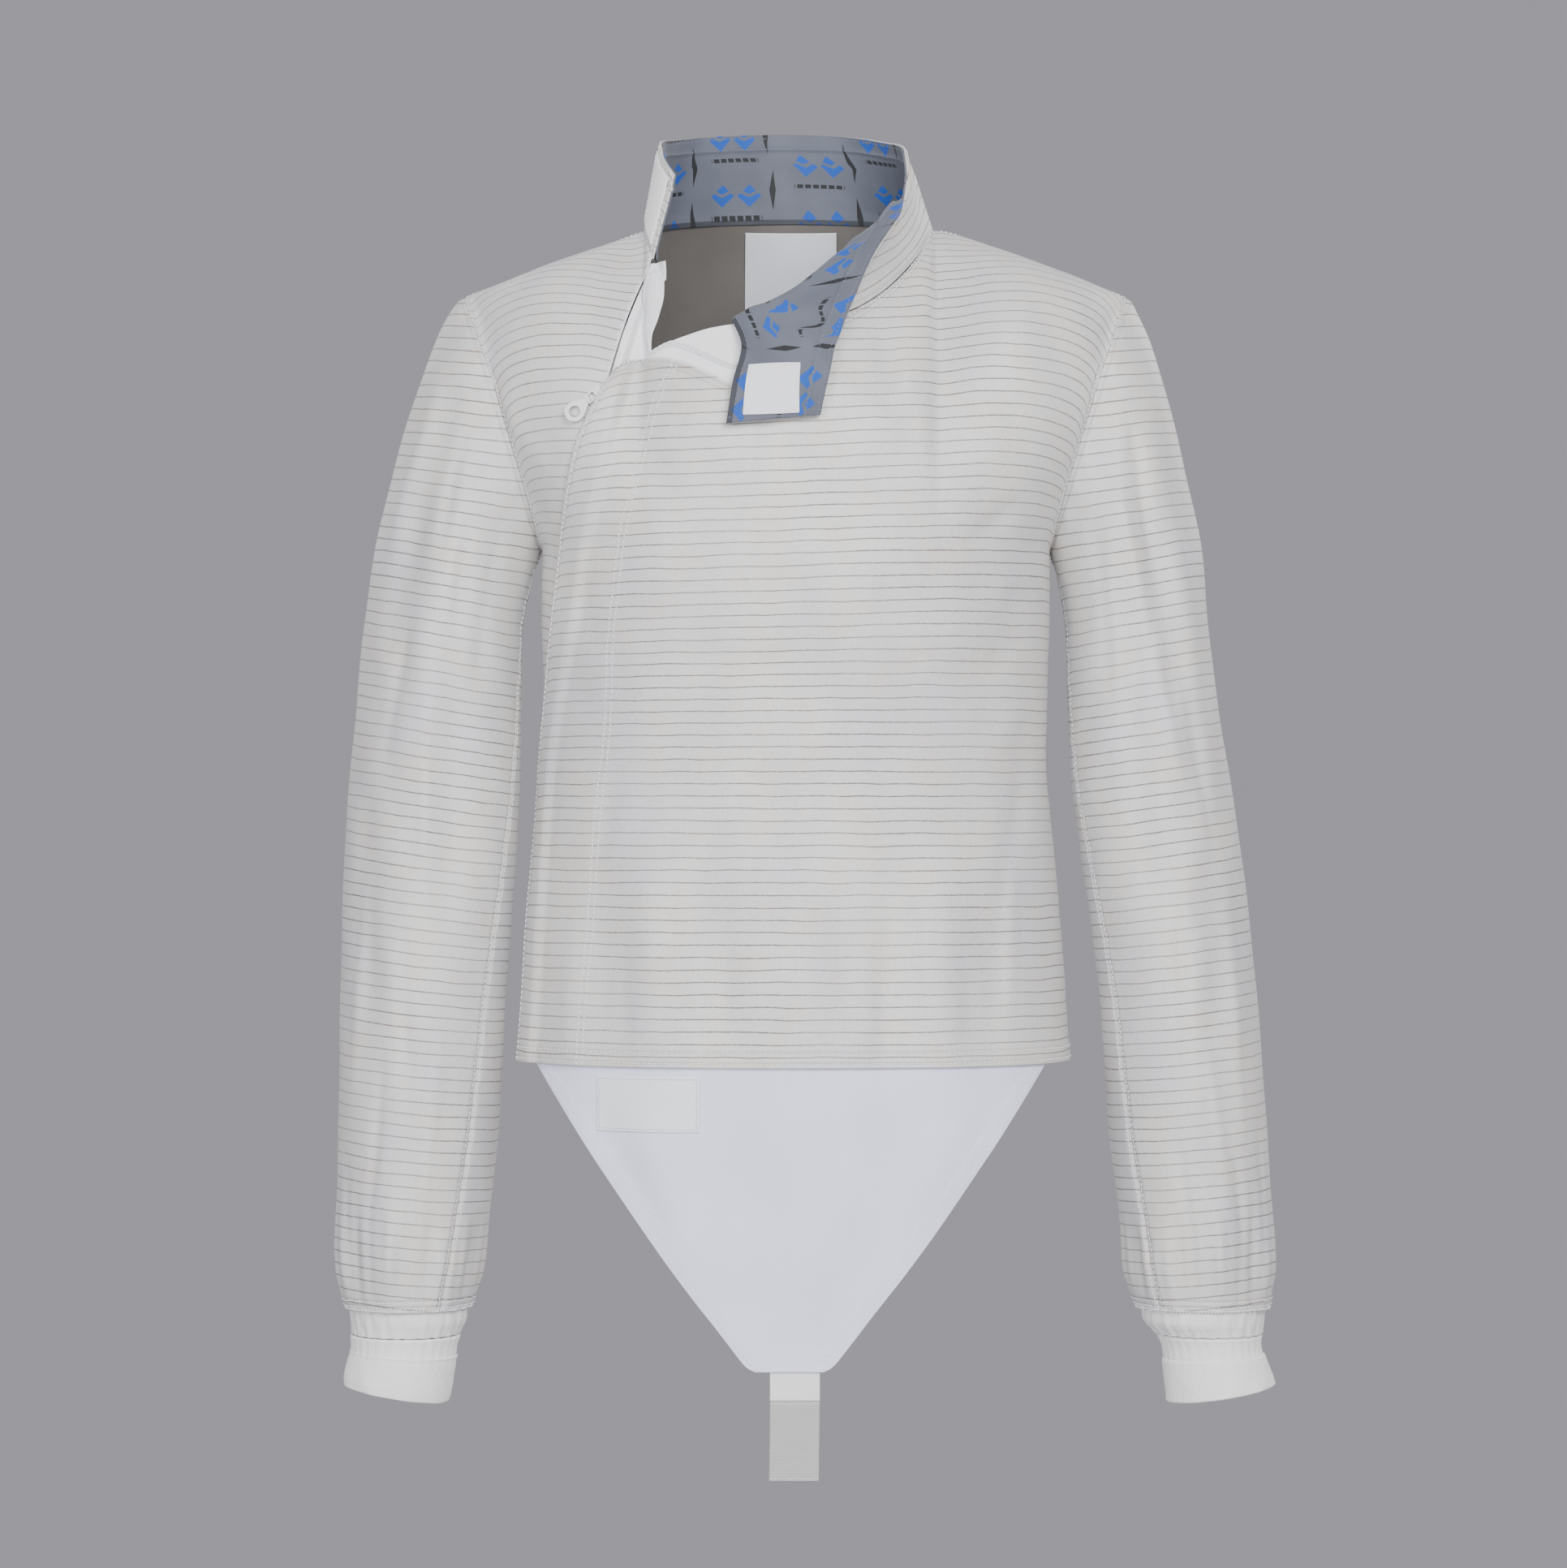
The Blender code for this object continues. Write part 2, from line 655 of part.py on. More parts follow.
def seam_body_panel(points, front, armhole_sides):
    """Inner points of a panel, with its seam edges trimmed for the seam's gap.
    armhole_sides names the columns that run up a side seam and an armhole."""
    back_to_front = -1.0 if front else 1.0
    normals = grid_normals(points, (0, back_to_front, 0))
    levels = panel_levels()
    outer = points.copy()
    for j, side in armhole_sides:
        for i, (kind, value) in enumerate(levels):
            if kind == "low":
                normals[i, j] = (side, 0, 0)
                outer[i, j, 1] += back_to_front * SEAM / 2
                continue
            normals[i, j] = armhole_normal(value, front, side)
            outer[i, j] -= armhole_across(value, front, side) * SEAM / 2
            if i in (LOW_ROWS, len(levels) - 1):
                outer[i, j, 1] += back_to_front * SEAM / 2
    tops = points[-1]
    for j in range(points.shape[1]):
        if j in dict(armhole_sides):
            continue
        if abs(tops[j, 0]) >= (NECK_LEFT if tops[j, 0] > 0 else NECK_RIGHT) - 0.01:
            slope = (shoulder_z(tops[j, 0] + 1) - shoulder_z(tops[j, 0] - 1)) / 2
            normals[-1, j] = np.array((-slope, 0, 1)) / math.hypot(slope, 1)
            outer[-1, j, 1] += back_to_front * SEAM / 2
        else:
            down = outer[-2, j] - outer[-1, j]
            outer[-1, j] += down / np.linalg.norm(down) * SEAM
    return outer, outer - normals * CLOTH, normals


def neck_tops(angles):
    return [(neck_point(a)[0], neck_point(a)[2]) for a in angles]


def shoulder_tops(distances, side):
    return [(side * d, shoulder_z(d)) for d in distances]


def flap_inner(z):
    return beside_zip(z, FLAP_INNER)


def flap_end(z):
    return beside_zip(z, FLAP_INNER + FLAP_SLOPE)


def mid_flap(z):
    return (float(placket_x(z)) + flap_inner(z)) / 2


def build_front_main(look, home):
    tops = [tuple(s) for s in DROOP] + neck_tops(NECK_COLUMNS) + shoulder_tops(SHOULDER_COLUMNS, 1)
    points = panel(tops, True, lines=(placket_x, mid_flap, flap_inner, flap_end))
    normals = grid_normals(points, (0, -1.0, 0))
    lift = [[placket_lift(x, z) for x, _, z in row] for row in points]
    points = points + normals * np.array(lift)[:, :, None]
    outer, inner, normals = seam_body_panel(points, True, ((len(tops) - 1, 1),))
    wall("front_main", outer, inner, look, home)
    return Surface(points, normals)


def build_front_side(look, home):
    tops = shoulder_tops(SIDE_SHOULDER_COLUMNS, -1) + neck_tops(SIDE_NECK_COLUMNS)
    points = panel(tops, True, right_edge=zip_x)
    outer, inner, _ = seam_body_panel(points, True, ((0, -1),))
    return wall("front_side", outer, inner, look, home)


def build_back(look, home):
    tops = shoulder_tops(SHOULDER_COLUMNS[::-1], -1) + neck_tops(BACK_NECK_COLUMNS)
    tops += shoulder_tops(SHOULDER_COLUMNS, 1)
    points = panel(tops, False)
    outer, inner, normals = seam_body_panel(points, False, ((0, -1), (len(tops) - 1, 1)))
    wall("back", outer, inner, look, home)
    return points, normals


def body_patch(name, xs, zs, front, depth, thickness, look, home):
    """A thin piece that follows the body at a depth under its outer face, or over it
    when the depth is negative. xs and zs are grids."""
    points = np.array([[body_point(x, z, front) for x, z in zip(*row)] for row in zip(xs, zs)])
    normals = grid_normals(points, (0, -1.0 if front else 1.0, 0))
    outer = points - normals * depth
    return wall(name, outer, outer - normals * thickness, look, home)


def build_back_lining(points, normals, look, home):
    """Lining inside the upper back, on the back's own columns below the neckline."""
    first, last = len(SHOULDER_COLUMNS), len(SHOULDER_COLUMNS) + len(BACK_NECK_COLUMNS)
    points, normals = points[LOW_ROWS + LINING_SKIP:, first:last].copy(), normals[LOW_ROWS + LINING_SKIP:, first:last]
    points[-1] = lerp(points[-1], points[-2], LINING_TRIM)
    outer = points - normals * (CLOTH + SEAM)
    inner = outer - normals * LINING
    wall("back_lining", outer, inner, look, home)
    return Surface(inner, normals)


def build_neck_label(lining, look, home):
    left, right, low, high = NECK_LABEL
    xs, zs = np.meshgrid(np.linspace(left, right, 7), np.linspace(low, high, 6))
    return surface_patch("neck_label", lining, xs, zs, LABEL_LIFT, LABEL, look, home)


def sleeve_curves(side):
    """Smooth outer and inner edges of a sleeve, as x for each height."""
    name = "right" if side < 0 else "left"
    return column(SLEEVE_OUTER, "z", name), column(SLEEVE_INNER, "z", name)


def crease_height(angle, share, creases):
    """Height of the creases at an angle in degrees and a share of the length."""
    total = 0.0
    for c in creases:
        along = (share - c.share0) / (c.share1 - c.share0)
        if not 0 < along < 1:
            continue
        off = (angle - lerp(c.angle0, c.angle1, along)) / c.width
        total += c.height * math.sin(math.pi * along) * math.exp(-off * off)
    return total


def sleeve_point(side, share, angle, curves, creases):
    """Point of a sleeve's outer face. The angle is 0 at the armpit and grows over the
    front, in radians."""
    outer, inner = curves
    outer_z = lerp(TIP_Z, SLEEVE_OUTER[0].z, share)
    inner_z = lerp(ARMPIT_Z, SLEEVE_INNER[0].z, share)
    middle = np.array(((outer(outer_z) + inner(inner_z)) / 2, 0, (outer_z + inner_z) / 2))
    half = np.array(((outer(outer_z) - inner(inner_z)) / 2, 0, (outer_z - inner_z) / 2))
    depth = float(depth_front(share) if math.sin(angle) > 0 else depth_back(share))
    bulge = crease_height(math.degrees(angle) % 360, share, creases)
    bulge += GATHER_HEIGHT * math.cos(GATHERS * angle) * smoothstep((share - 0.86) / 0.09) * (
        1 - 0.85 * smoothstep((share - 0.95) / 0.05))
    grow = 1 + bulge * smoothstep(share / 0.05) / 46
    point = middle - half * math.cos(angle) * grow
    point[1] = -depth * math.sin(angle) * grow - SLEEVE_FORWARD * share ** 2
    point[0] -= ARMHOLE_BOW * abs(math.sin(angle)) * (1 - share) ** 8
    point[0] *= side
    return point


def build_sleeve(name, side, creases, seam_turn, look, home):
    curves = sleeve_curves(side)
    rows = []
    for i in range(SLEEVE_RINGS + 1):
        s = i / SLEEVE_RINGS
        share = 0.7 * s + 0.3 * (1 - math.cos(math.pi * s)) / 2
        start = math.radians(seam_turn * share ** 0.8)
        turns = [start + math.pi * j / HIGH_ROWS for j in range(2 * HIGH_ROWS + 1)]
        rows.append([sleeve_point(side, share, a, curves, creases) for a in turns])
    points = np.array(rows)
    wrapped = np.concatenate((points[:, -2:-1], points, points[:, 1:2]), axis=1)
    normals = grid_normals(wrapped, (0, 1.0, 0))[:, 1:-1]
    for j in range(2 * HIGH_ROWS + 1):
        front = j <= HIGH_ROWS
        turn = math.pi * (j if front else 2 * HIGH_ROWS - j) / HIGH_ROWS
        normals[0, j] = armhole_normal(turn, front, side)
        points[0, j] += armhole_across(turn, front, side) * SEAM / 2
    for j, step in ((0, 1), (-1, -2)):
        slit = points[:, step] - points[:, j]
        slit /= np.linalg.norm(slit, axis=1, keepdims=True)
        points[:, j] += slit * SEAM / 2
    return wall(name, points, points - normals * CLOTH, look, home)


def build_rings(name, rows, side, thickness, columns, look, home):
    """A tube through the rings of a wrist table."""
    label = "right" if side < 0 else "left"
    wrist_y = -SLEEVE_FORWARD
    points = []
    for r in rows:
        outer, inner = getattr(r, label + "_outer"), getattr(r, label + "_inner")
        half, middle = (outer - inner) / 2, (outer + inner) / 2
        ring = []
        for j in range(columns):
            a = 2 * math.pi * j / columns
            z = lerp(r.inner_z, r.outer_z, (1 - math.cos(a)) / 2)
            ring.append((side * (middle - half * math.cos(a)), wrist_y - half * math.sin(a), z))
        points.append(ring)
    points = np.array(points)
    wrapped = np.concatenate((points[:, -1:], points, points[:, :1]), axis=1)
    normals = grid_normals(wrapped, (0, 1.0, 0))[:, 1:-1]
    return wall(name, points, points - normals * thickness, look, home, closed=True)


def collar_sections():
    """Base, fold and free edge of each section of the band, as smooth curves of the share
    along the band."""
    turns = [-r.angle for r in COLLAR]
    fine = np.interp(np.linspace(0, len(COLLAR) - 1, 3 * len(COLLAR) - 2), range(len(COLLAR)), turns)
    folds, edges = [], []
    for r in COLLAR:
        edges.append(np.array((r.edge_x, r.edge_y, r.edge_z)))
        folds.append(np.array((r.fold_x, r.fold_y, r.fold_z)))
        if r.fold_x == r.edge_x:
            folds[-1] = lerp(np.array(neck_point(r.angle)), edges[-1], STANDING_SHARE)
    lines = [[Curve(turns, [p[k] for p in line]) for k in range(3)] for line in (folds, edges)]
    fold, edge = ([np.array([curve(turn) for curve in line]) for turn in fine] for line in lines)
    base = [np.array(neck_point(-turn)) for turn in fine]
    base = [b + (f - b) / np.linalg.norm(f - b) * BAND_FOOT for b, f in zip(base, fold)]
    for t in TAB:
        base.append(np.array((t.low_x, t.low_y, t.low_z)))
        edge.append(np.array((t.edge_x, t.edge_y, t.edge_z)))
        fold.append(lerp(base[-1], edge[-1], TAB_FOLD_SHARE))
    base, fold, edge = np.array(base), np.array(fold), np.array(edge)
    middle = (base + edge) / 2
    steps = np.linalg.norm(np.diff(middle, axis=0), axis=1)
    along = np.concatenate(((0,), np.cumsum(steps))) / steps.sum()
    return [[Curve(along, line[:, k]) for k in range(3)] for line in (base, fold, edge)]


def collar_point(curves, share, level):
    """Point of the band at a share along it. The level is 0 at its foot, 1 at the fold and
    2 at its free edge."""
    base, fold, edge = (np.array([float(c(share)) for c in line]) for line in curves)
    rise, hang = np.linalg.norm(fold - base), np.linalg.norm(edge - fold)
    distance = rise * min(level, 1.0) + hang * max(level - 1.0, 0.0)
    ease = min(FOLD_EASE, rise * 0.45, hang * 0.45)
    up = (fold - base) / rise
    out = (edge - fold) / hang
    if distance < rise - ease:
        return base + up * distance
    if distance > rise + ease:
        return fold + out * (distance - rise)
    t = (distance - rise + ease) / (2 * ease)
    start, end = fold - up * ease, fold + out * ease
    return (1 - t) ** 2 * start + 2 * t * (1 - t) * fold + t * t * end


def collar_grid(shares, levels):
    """Points of the band and their normals, which point away from the neck."""
    curves = collar_sections()
    points = np.array([[collar_point(curves, s, h) for s in shares] for h in levels])
    normals = np.cross(np.gradient(points, axis=0), np.gradient(points, axis=1))
    normals /= np.linalg.norm(normals, axis=2, keepdims=True)
    return points, normals


def build_collar(look, lining_look, home):
    points, normals = collar_grid(np.linspace(0, 1, COLLAR_SECTIONS), COLLAR_LEVELS)
    wall("collar", points + normals * BAND, points, look, home)
    inside = points - normals * LINING_GAP
    wall("collar_lining", inside, inside - normals * LINING, lining_look, home)


def band_patch(name, patch, over, look, home):
    """A thin patch on the band, over its outer face or, when over is negative, its lining."""
    shares = np.linspace(patch.start, patch.end, 6)
    points, normals = collar_grid(shares, np.linspace(patch.low, patch.high, 7))
    inner = points + normals * over
    outer = inner + normals * math.copysign(LABEL, over)
    return wall(name, outer, inner, look, home)


def strip(zs, width, columns):
    """Grids of x and z for a strip beside the zip line."""
    shares = np.linspace(0, 1, columns)
    xs = np.array([[beside_zip(z, lerp(TAPE_GAP, width(z), c)) for c in shares] for z in zs])
    return xs, np.repeat(np.array(zs)[:, None], columns, axis=1)


def build_zip(tape_look, home):
    def open_width(z):
        return lerp(11.0, 15.0, smoothstep((TAPE_TOP_Z - z) / 60))

    side_top = neck_point(SIDE_NECK_COLUMNS[-1])[2]
    levels = [v if kind == "low" else lerp(ARMPIT_Z, side_top, (1 - math.cos(v)) / 2) for kind, v in panel_levels()]
    zs = [SLIDER_Z + 8] + [z for z in levels if SLIDER_Z + 10 < z < TAPE_TOP_Z - 2] + [TAPE_TOP_Z]
    xs, heights = strip(zs, open_width, 5)
    sink = (CLOTH + SEAM) * smoothstep((-58 - heights) / 14)
    body_patch("zip_tape_side", xs, heights, True, 0.4 + sink[:, :, None], CHAIN_WALL, tape_look, home)
    zs = [HEM_Z + 4] + [z for z in levels if HEM_Z + 6 < z < SLIDER_Z - 10] + [SLIDER_Z - 8]
    xs, heights = strip(zs, lambda z: CHAIN_WIDTH, 3)
    body_patch("zip_chain", xs, heights, True, 0.4, CHAIN_WALL, tape_look, home)


def build_facing(look, home):
    rows, columns = 5, 13
    xs, zs = np.zeros((rows, columns)), np.zeros((rows, columns))
    for j in range(columns):
        x = lerp(FACING_TOP[0].x, FACING_TOP[-1].x, j / (columns - 1))
        low, high = float(droop_z(x)) - FACING_TUCK, float(facing_top(x))
        for i in range(rows):
            xs[i, j], zs[i, j] = x, lerp(low, high, i / (rows - 1))
    return body_patch("zip_facing", xs, zs, True, CLOTH + SEAM + 0.5, LINING, look, home)


def apron_grid(rows, columns):
    """Grids of x and z over the apron, with round bottom corners."""
    top_left, low_left, low_right, top_right = APRON_SIDES
    xs, zs = np.zeros((rows, columns)), np.zeros((rows, columns))
    for i in range(rows):
        share = i / (rows - 1)
        z = lerp(HEM_Z + APRON_TUCK, APRON_BOTTOM_Z, share)
        slope = max((HEM_Z - z) / (HEM_Z - APRON_BOTTOM_Z), -0.02)
        left, right = lerp(top_left.x, low_left.x, slope), lerp(top_right.x, low_right.x, slope)
        bow = APRON_BOW * math.sin(math.pi * min(max(slope, 0.0), 1.0))
        left, right = left - bow, right + bow
        above = z - APRON_BOTTOM_Z
        if above < APRON_CORNER:
            cut = APRON_CORNER - math.sqrt(APRON_CORNER ** 2 - (APRON_CORNER - above) ** 2)
            left, right = left + cut * 0.6, right - cut * 0.6
        for j in range(columns):
            turn = lerp(-1, 1, j / (columns - 1))
            xs[i, j] = lerp(left, right, (1 + math.sin(turn * math.pi / 2) * 0.35 + turn * 0.65) / 2)
            zs[i, j] = z
    return xs, zs


def apron_point(front, x, z, depth):
    """The apron hangs straight down from inside the hem. Its points and the way they face."""
    level = max(z, HEM_Z)
    point, normal = front.at(x, level)
    point = point - normal * (depth + placket_lift(x, level))
    point[1] += APRON_LEAN * smoothstep((HEM_Z - z) / 180)
    point[2] = z
    return point, normal


def apron_patch(name, front, xs, zs, depth, thickness, look, home):
    grids = []
    for layer in (depth, depth + thickness):
        grids.append([[apron_point(front, x, z, layer)[0] for x, z in zip(*row)] for row in zip(xs, zs)])
    return wall(name, np.array(grids[0]), np.array(grids[1]), look, home)


def build_apron(front, apron_look, label_look, tab_look, strap_look, home):
    depth = CLOTH + SEAM + APRON_SLACK
    xs, zs = apron_grid(11, 19)
    apron_patch("apron", front, xs, zs, depth, LINING, apron_look, home)
    left, right, low, high = APRON_LABEL
    xs, zs = np.meshgrid(np.linspace(left, right, 9), np.linspace(low, high, 4))
    apron_patch("apron_label", front, xs, zs, depth - LABEL_LIFT - LABEL, LABEL, label_look, home)
    half = STRAP_WIDTH / 2
    xs, zs = np.meshgrid(np.linspace(STRAP_X - half, STRAP_X + half, 4), np.linspace(STRAP_TAB_Z, APRON_BOTTOM_Z + 12, 4))
    apron_patch("strap_tab", front, xs, zs, depth + LINING + SEAM, 1.2, tab_look, home)
    xs, zs = np.meshgrid(np.linspace(STRAP_X - half, STRAP_X + half, 4), np.linspace(STRAP_BOTTOM_Z, STRAP_TAB_Z - SEAM, 4))
    apron_patch("strap", front, xs, zs, depth + LINING + SEAM, 1.2, strap_look, home)


def pull_frame():
    """Matrix of the pull at rest: x along the hinge's pin, y from the ring to the pin,
    z out of the cloth."""
    x, z = PULL_HINGE
    middle = Vector(body_point(x, z))
    right = Vector(body_point(x + 2, z)) - middle
    up = Vector(body_point(x, z + 2)) - middle
    out = right.cross(up).normalized()
    if out.y > 0:
        out = -out
    along = up - out * up.dot(out)
    along.normalize()
    across = along.cross(out).normalized()
    turned = Matrix.Rotation(math.radians(-PULL_TURN), 3, out)
    along = turned @ along
    across = turned @ across
    origin = (middle + out * HINGE_HEIGHT) * MM
    return Matrix.Translation(origin) @ Matrix((across, along, out)).transposed().to_4x4()


def cylinder(name, radius, depth, home, segments=20):
    bm = bmesh.new()
    bmesh.ops.create_cone(bm, cap_ends=True, segments=segments, radius1=radius * MM, radius2=radius * MM,
                          depth=depth * MM)
    mesh = bpy.data.meshes.new(name)
    bm.to_mesh(mesh)
    bm.free()
    made = bpy.data.objects.new(name, mesh)
    home.objects.link(made)
    return made


def box(name, size, place, home):
    bm = bmesh.new()
    bmesh.ops.create_cube(bm, size=1.0)
    for vert in bm.verts:
        vert.co = Vector([(vert.co[k] * size[k] + place[k]) * MM for k in range(3)])
    mesh = bpy.data.meshes.new(name)
    bm.to_mesh(mesh)
    bm.free()
    made = bpy.data.objects.new(name, mesh)
    home.objects.link(made)
    return made


def plate(name, outline, thickness, home):
    """A flat plate from an outline, centred on its thickness."""
    curve = bpy.data.curves.new(name, "CURVE")
    curve.dimensions = "2D"
    curve.fill_mode = "BOTH"
    curve.extrude = thickness * MM / 2
    spline = curve.splines.new("POLY")
    spline.points.add(len(outline) - 1)
    for point, (x, y) in zip(spline.points, outline):
        point.co = (x * MM, y * MM, 0, 1)
    spline.use_cyclic_u = True
    guide = bpy.data.objects.new(name, curve)
    home.objects.link(guide)
    bpy.context.view_layer.update()
    graph = bpy.context.evaluated_depsgraph_get()
    mesh = bpy.data.meshes.new_from_object(guide.evaluated_get(graph))
    bpy.data.objects.remove(guide)
    bm = bmesh.new()
    bm.from_mesh(mesh)
    bmesh.ops.remove_doubles(bm, verts=bm.verts, dist=1e-6)
    bm.to_mesh(mesh)
    bm.free()
    made = bpy.data.objects.new(name, mesh)
    home.objects.link(made)
    return made


def combine(base, other, operation):
    modifier = base.modifiers.new(operation.lower(), "BOOLEAN")
    modifier.operation = operation
    modifier.object = other
    other.hide_render = True
    other.display_type = "WIRE"


def round_x(tool):
    """Turns a cylinder's axis from z to x."""
    tool.rotation_euler = (0, math.pi / 2, 0)
    return tool


def build_pull(look, home, cutters, frame):
    """Pull tab, with its ring below the hinge. Its origin is on the hinge's axis."""
    centre = -(PULL_LENGTH - PULL_RING)
    lean = math.acos((PULL_RING - PULL_NECK / 2) / abs(centre))
    outline = [(-PULL_NECK / 2, 0.0)]
    for i in range(25):
        a = lerp(math.pi - lean * 0.45, 2 * math.pi + lean * 0.45, i / 24)
        outline.append((PULL_RING * math.cos(a), centre + PULL_RING * math.sin(a)))
    outline.append((PULL_NECK / 2, 0.0))
    pull = plate("zip_pull", outline, PULL_WALL, home)
    barrel = round_x(cylinder("pull_barrel", BARREL_RADIUS, PULL_NECK, cutters, 16))
    bore = round_x(cylinder("pull_bore", PIN_RADIUS + PIN_CLEAR, PULL_NECK * 3, cutters, 16))
    hole = cylinder("pull_hole", PULL_HOLE, PULL_WALL * 4, cutters, 24)
    hole.location = (0, centre * MM, 0)
    for tool in (barrel, bore, hole):
        tool.matrix_world = frame @ tool.matrix_basis
    pull.matrix_world = frame
    combine(pull, barrel, "UNION")
    combine(pull, bore, "DIFFERENCE")
    combine(pull, hole, "DIFFERENCE")
    pull.data.materials.append(look)
    return pull


def build_slider(look, home, cutters, frame):
    """Slider under the placket, with two ears that hold the pull's pin."""
    gap = PULL_NECK / 2 + SEAM
    reach = 9.0
    slider = box("zip_slider", (2 * (gap + EAR_WIDTH), 5.0, 1.6), (0, 7.5, -0.6), home)
    for sign in (-1, 1):
        ear = box("slider_ear", (EAR_WIDTH, reach, 1.6), (sign * (gap + EAR_WIDTH / 2), reach / 2 - 0.6, -0.3), cutters)
        ear.matrix_world = frame
        combine(slider, ear, "UNION")
    pin = round_x(cylinder("slider_pin", PIN_RADIUS, 2 * (gap + EAR_WIDTH) - 0.2, cutters, 12))
    pin.matrix_world = frame @ pin.matrix_basis
    combine(slider, pin, "UNION")
    slider.matrix_world = frame
    slider.data.materials.append(look)
    return slider


def main():
    for found in list(bpy.data.objects):
        bpy.data.objects.remove(found)
    home = collection("fencing_lame")
    cutters = collection("cutters")
    lame = material("lame", SILVER, 0.5, 0.55)
    white = material("white_cloth", WHITE, 0.85)
    grey = material("back_lining", OFF_WHITE, 0.85)
    knit = material("knit", OFF_WHITE, 0.9)
    printed = material("collar_lining", GREY_BLUE, 0.8)
    elastic = material("elastic", OFF_WHITE, 0.75)
    enamel = material("enamel", ENAMEL, 0.3)

    front = build_front_main(lame, home)
    build_front_side(lame, home)
    back, back_normals = build_back(lame, home)
    lining = build_back_lining(back, back_normals, grey, home)
    build_neck_label(lining, white, home)
    build_sleeve("sleeve_right", -1, RIGHT_CREASES, RIGHT_SEAM_TURN, lame, home)
    build_sleeve("sleeve_left", 1, LEFT_CREASES, LEFT_SEAM_TURN, lame, home)
    for name, side in (("right", -1), ("left", 1)):
        build_rings("wrist_lining_" + name, WRIST_LINING, side, LINING, 24, white, home)
        build_rings("cuff_" + name, CUFF, side, KNIT, 24, knit, home)
    build_collar(lame, printed, home)
    band_patch("loop_patch", LOOP, BAND + SEAM, white, home)
    band_patch("hook_patch", HOOK, -(LINING_GAP + LINING + SEAM), white, home)
    build_zip(white, home)
    build_facing(white, home)
    build_apron(front, white, white, white, elastic, home)
    frame = pull_frame()
    build_slider(enamel, home, cutters, frame)
    build_pull(enamel, home, cutters, frame)


main()
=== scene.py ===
import math

import bpy
import numpy as np
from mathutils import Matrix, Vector


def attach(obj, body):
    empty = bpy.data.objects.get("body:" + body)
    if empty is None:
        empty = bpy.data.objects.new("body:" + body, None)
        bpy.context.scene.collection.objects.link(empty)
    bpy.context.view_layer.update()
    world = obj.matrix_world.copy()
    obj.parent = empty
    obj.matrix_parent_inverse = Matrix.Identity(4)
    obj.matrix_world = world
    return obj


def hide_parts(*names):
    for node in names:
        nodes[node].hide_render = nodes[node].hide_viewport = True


# Sabre lame, filled out as worn. Millimetres in the tables, metres in the meshes.
# The front faces -Y and the wearer's right is -X.

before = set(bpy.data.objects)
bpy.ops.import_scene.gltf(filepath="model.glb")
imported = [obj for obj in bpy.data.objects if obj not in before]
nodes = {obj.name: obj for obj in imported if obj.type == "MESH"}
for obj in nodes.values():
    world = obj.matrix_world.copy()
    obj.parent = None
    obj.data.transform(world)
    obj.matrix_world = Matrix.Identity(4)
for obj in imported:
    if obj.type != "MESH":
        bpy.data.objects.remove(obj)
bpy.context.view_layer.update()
mm = 0.001
print("frame loaded")


def lerp(a, b, t):
    return a + (b - a) * t


def smooth(t):
    t = np.clip(t, 0.0, 1.0)
    return t * t * (3 - 2 * t)


def unit(v):
    return v / np.maximum(np.linalg.norm(v, axis=-1, keepdims=True), 1e-9)


def bell(offset, width):  # 1 in the middle, falling softly to 0
    return np.exp(-(offset / width) ** 2)


def swing(angle):  # 0 at 0 and 1 at half a turn
    return (1 - np.cos(angle)) / 2


class Curve:  # smooth curve through a table's rows, with no overshoot

    def __init__(self, keys, values):
        self.x, self.y = np.array(keys, float), np.array(values, float)
        step = np.diff(self.x)
        rise = np.diff(self.y) / step
        self.m = np.empty(len(self.x))
        self.m[0], self.m[-1] = rise[0], rise[-1]
        for i in range(1, len(rise)):
            before, after = rise[i - 1], rise[i]
            if before * after <= 0:
                self.m[i] = 0.0
                continue
            weight, other = 2 * step[i] + step[i - 1], step[i] + 2 * step[i - 1]
            self.m[i] = (weight + other) / (weight / before + other / after)

    def __call__(self, x):
        x = np.clip(x, self.x[0], self.x[-1])
        i = np.clip(np.searchsorted(self.x, x, side="right") - 1, 0, len(self.x) - 2)
        step = self.x[i + 1] - self.x[i]
        t = (x - self.x[i]) / step
        a = (1 + 2 * t) * (1 - t) ** 2 * self.y[i] + t * (1 - t) ** 2 * step * self.m[i]
        b = t * t * (3 - 2 * t) * self.y[i + 1] + t * t * (t - 1) * step * self.m[i + 1]
        return a + b


def curvesOf(rows):
    table = np.array(rows, float)
    return [Curve(table[:, 0], table[:, k]) for k in range(1, table.shape[1])]


# Torso and neckline: the same sizes as the solids

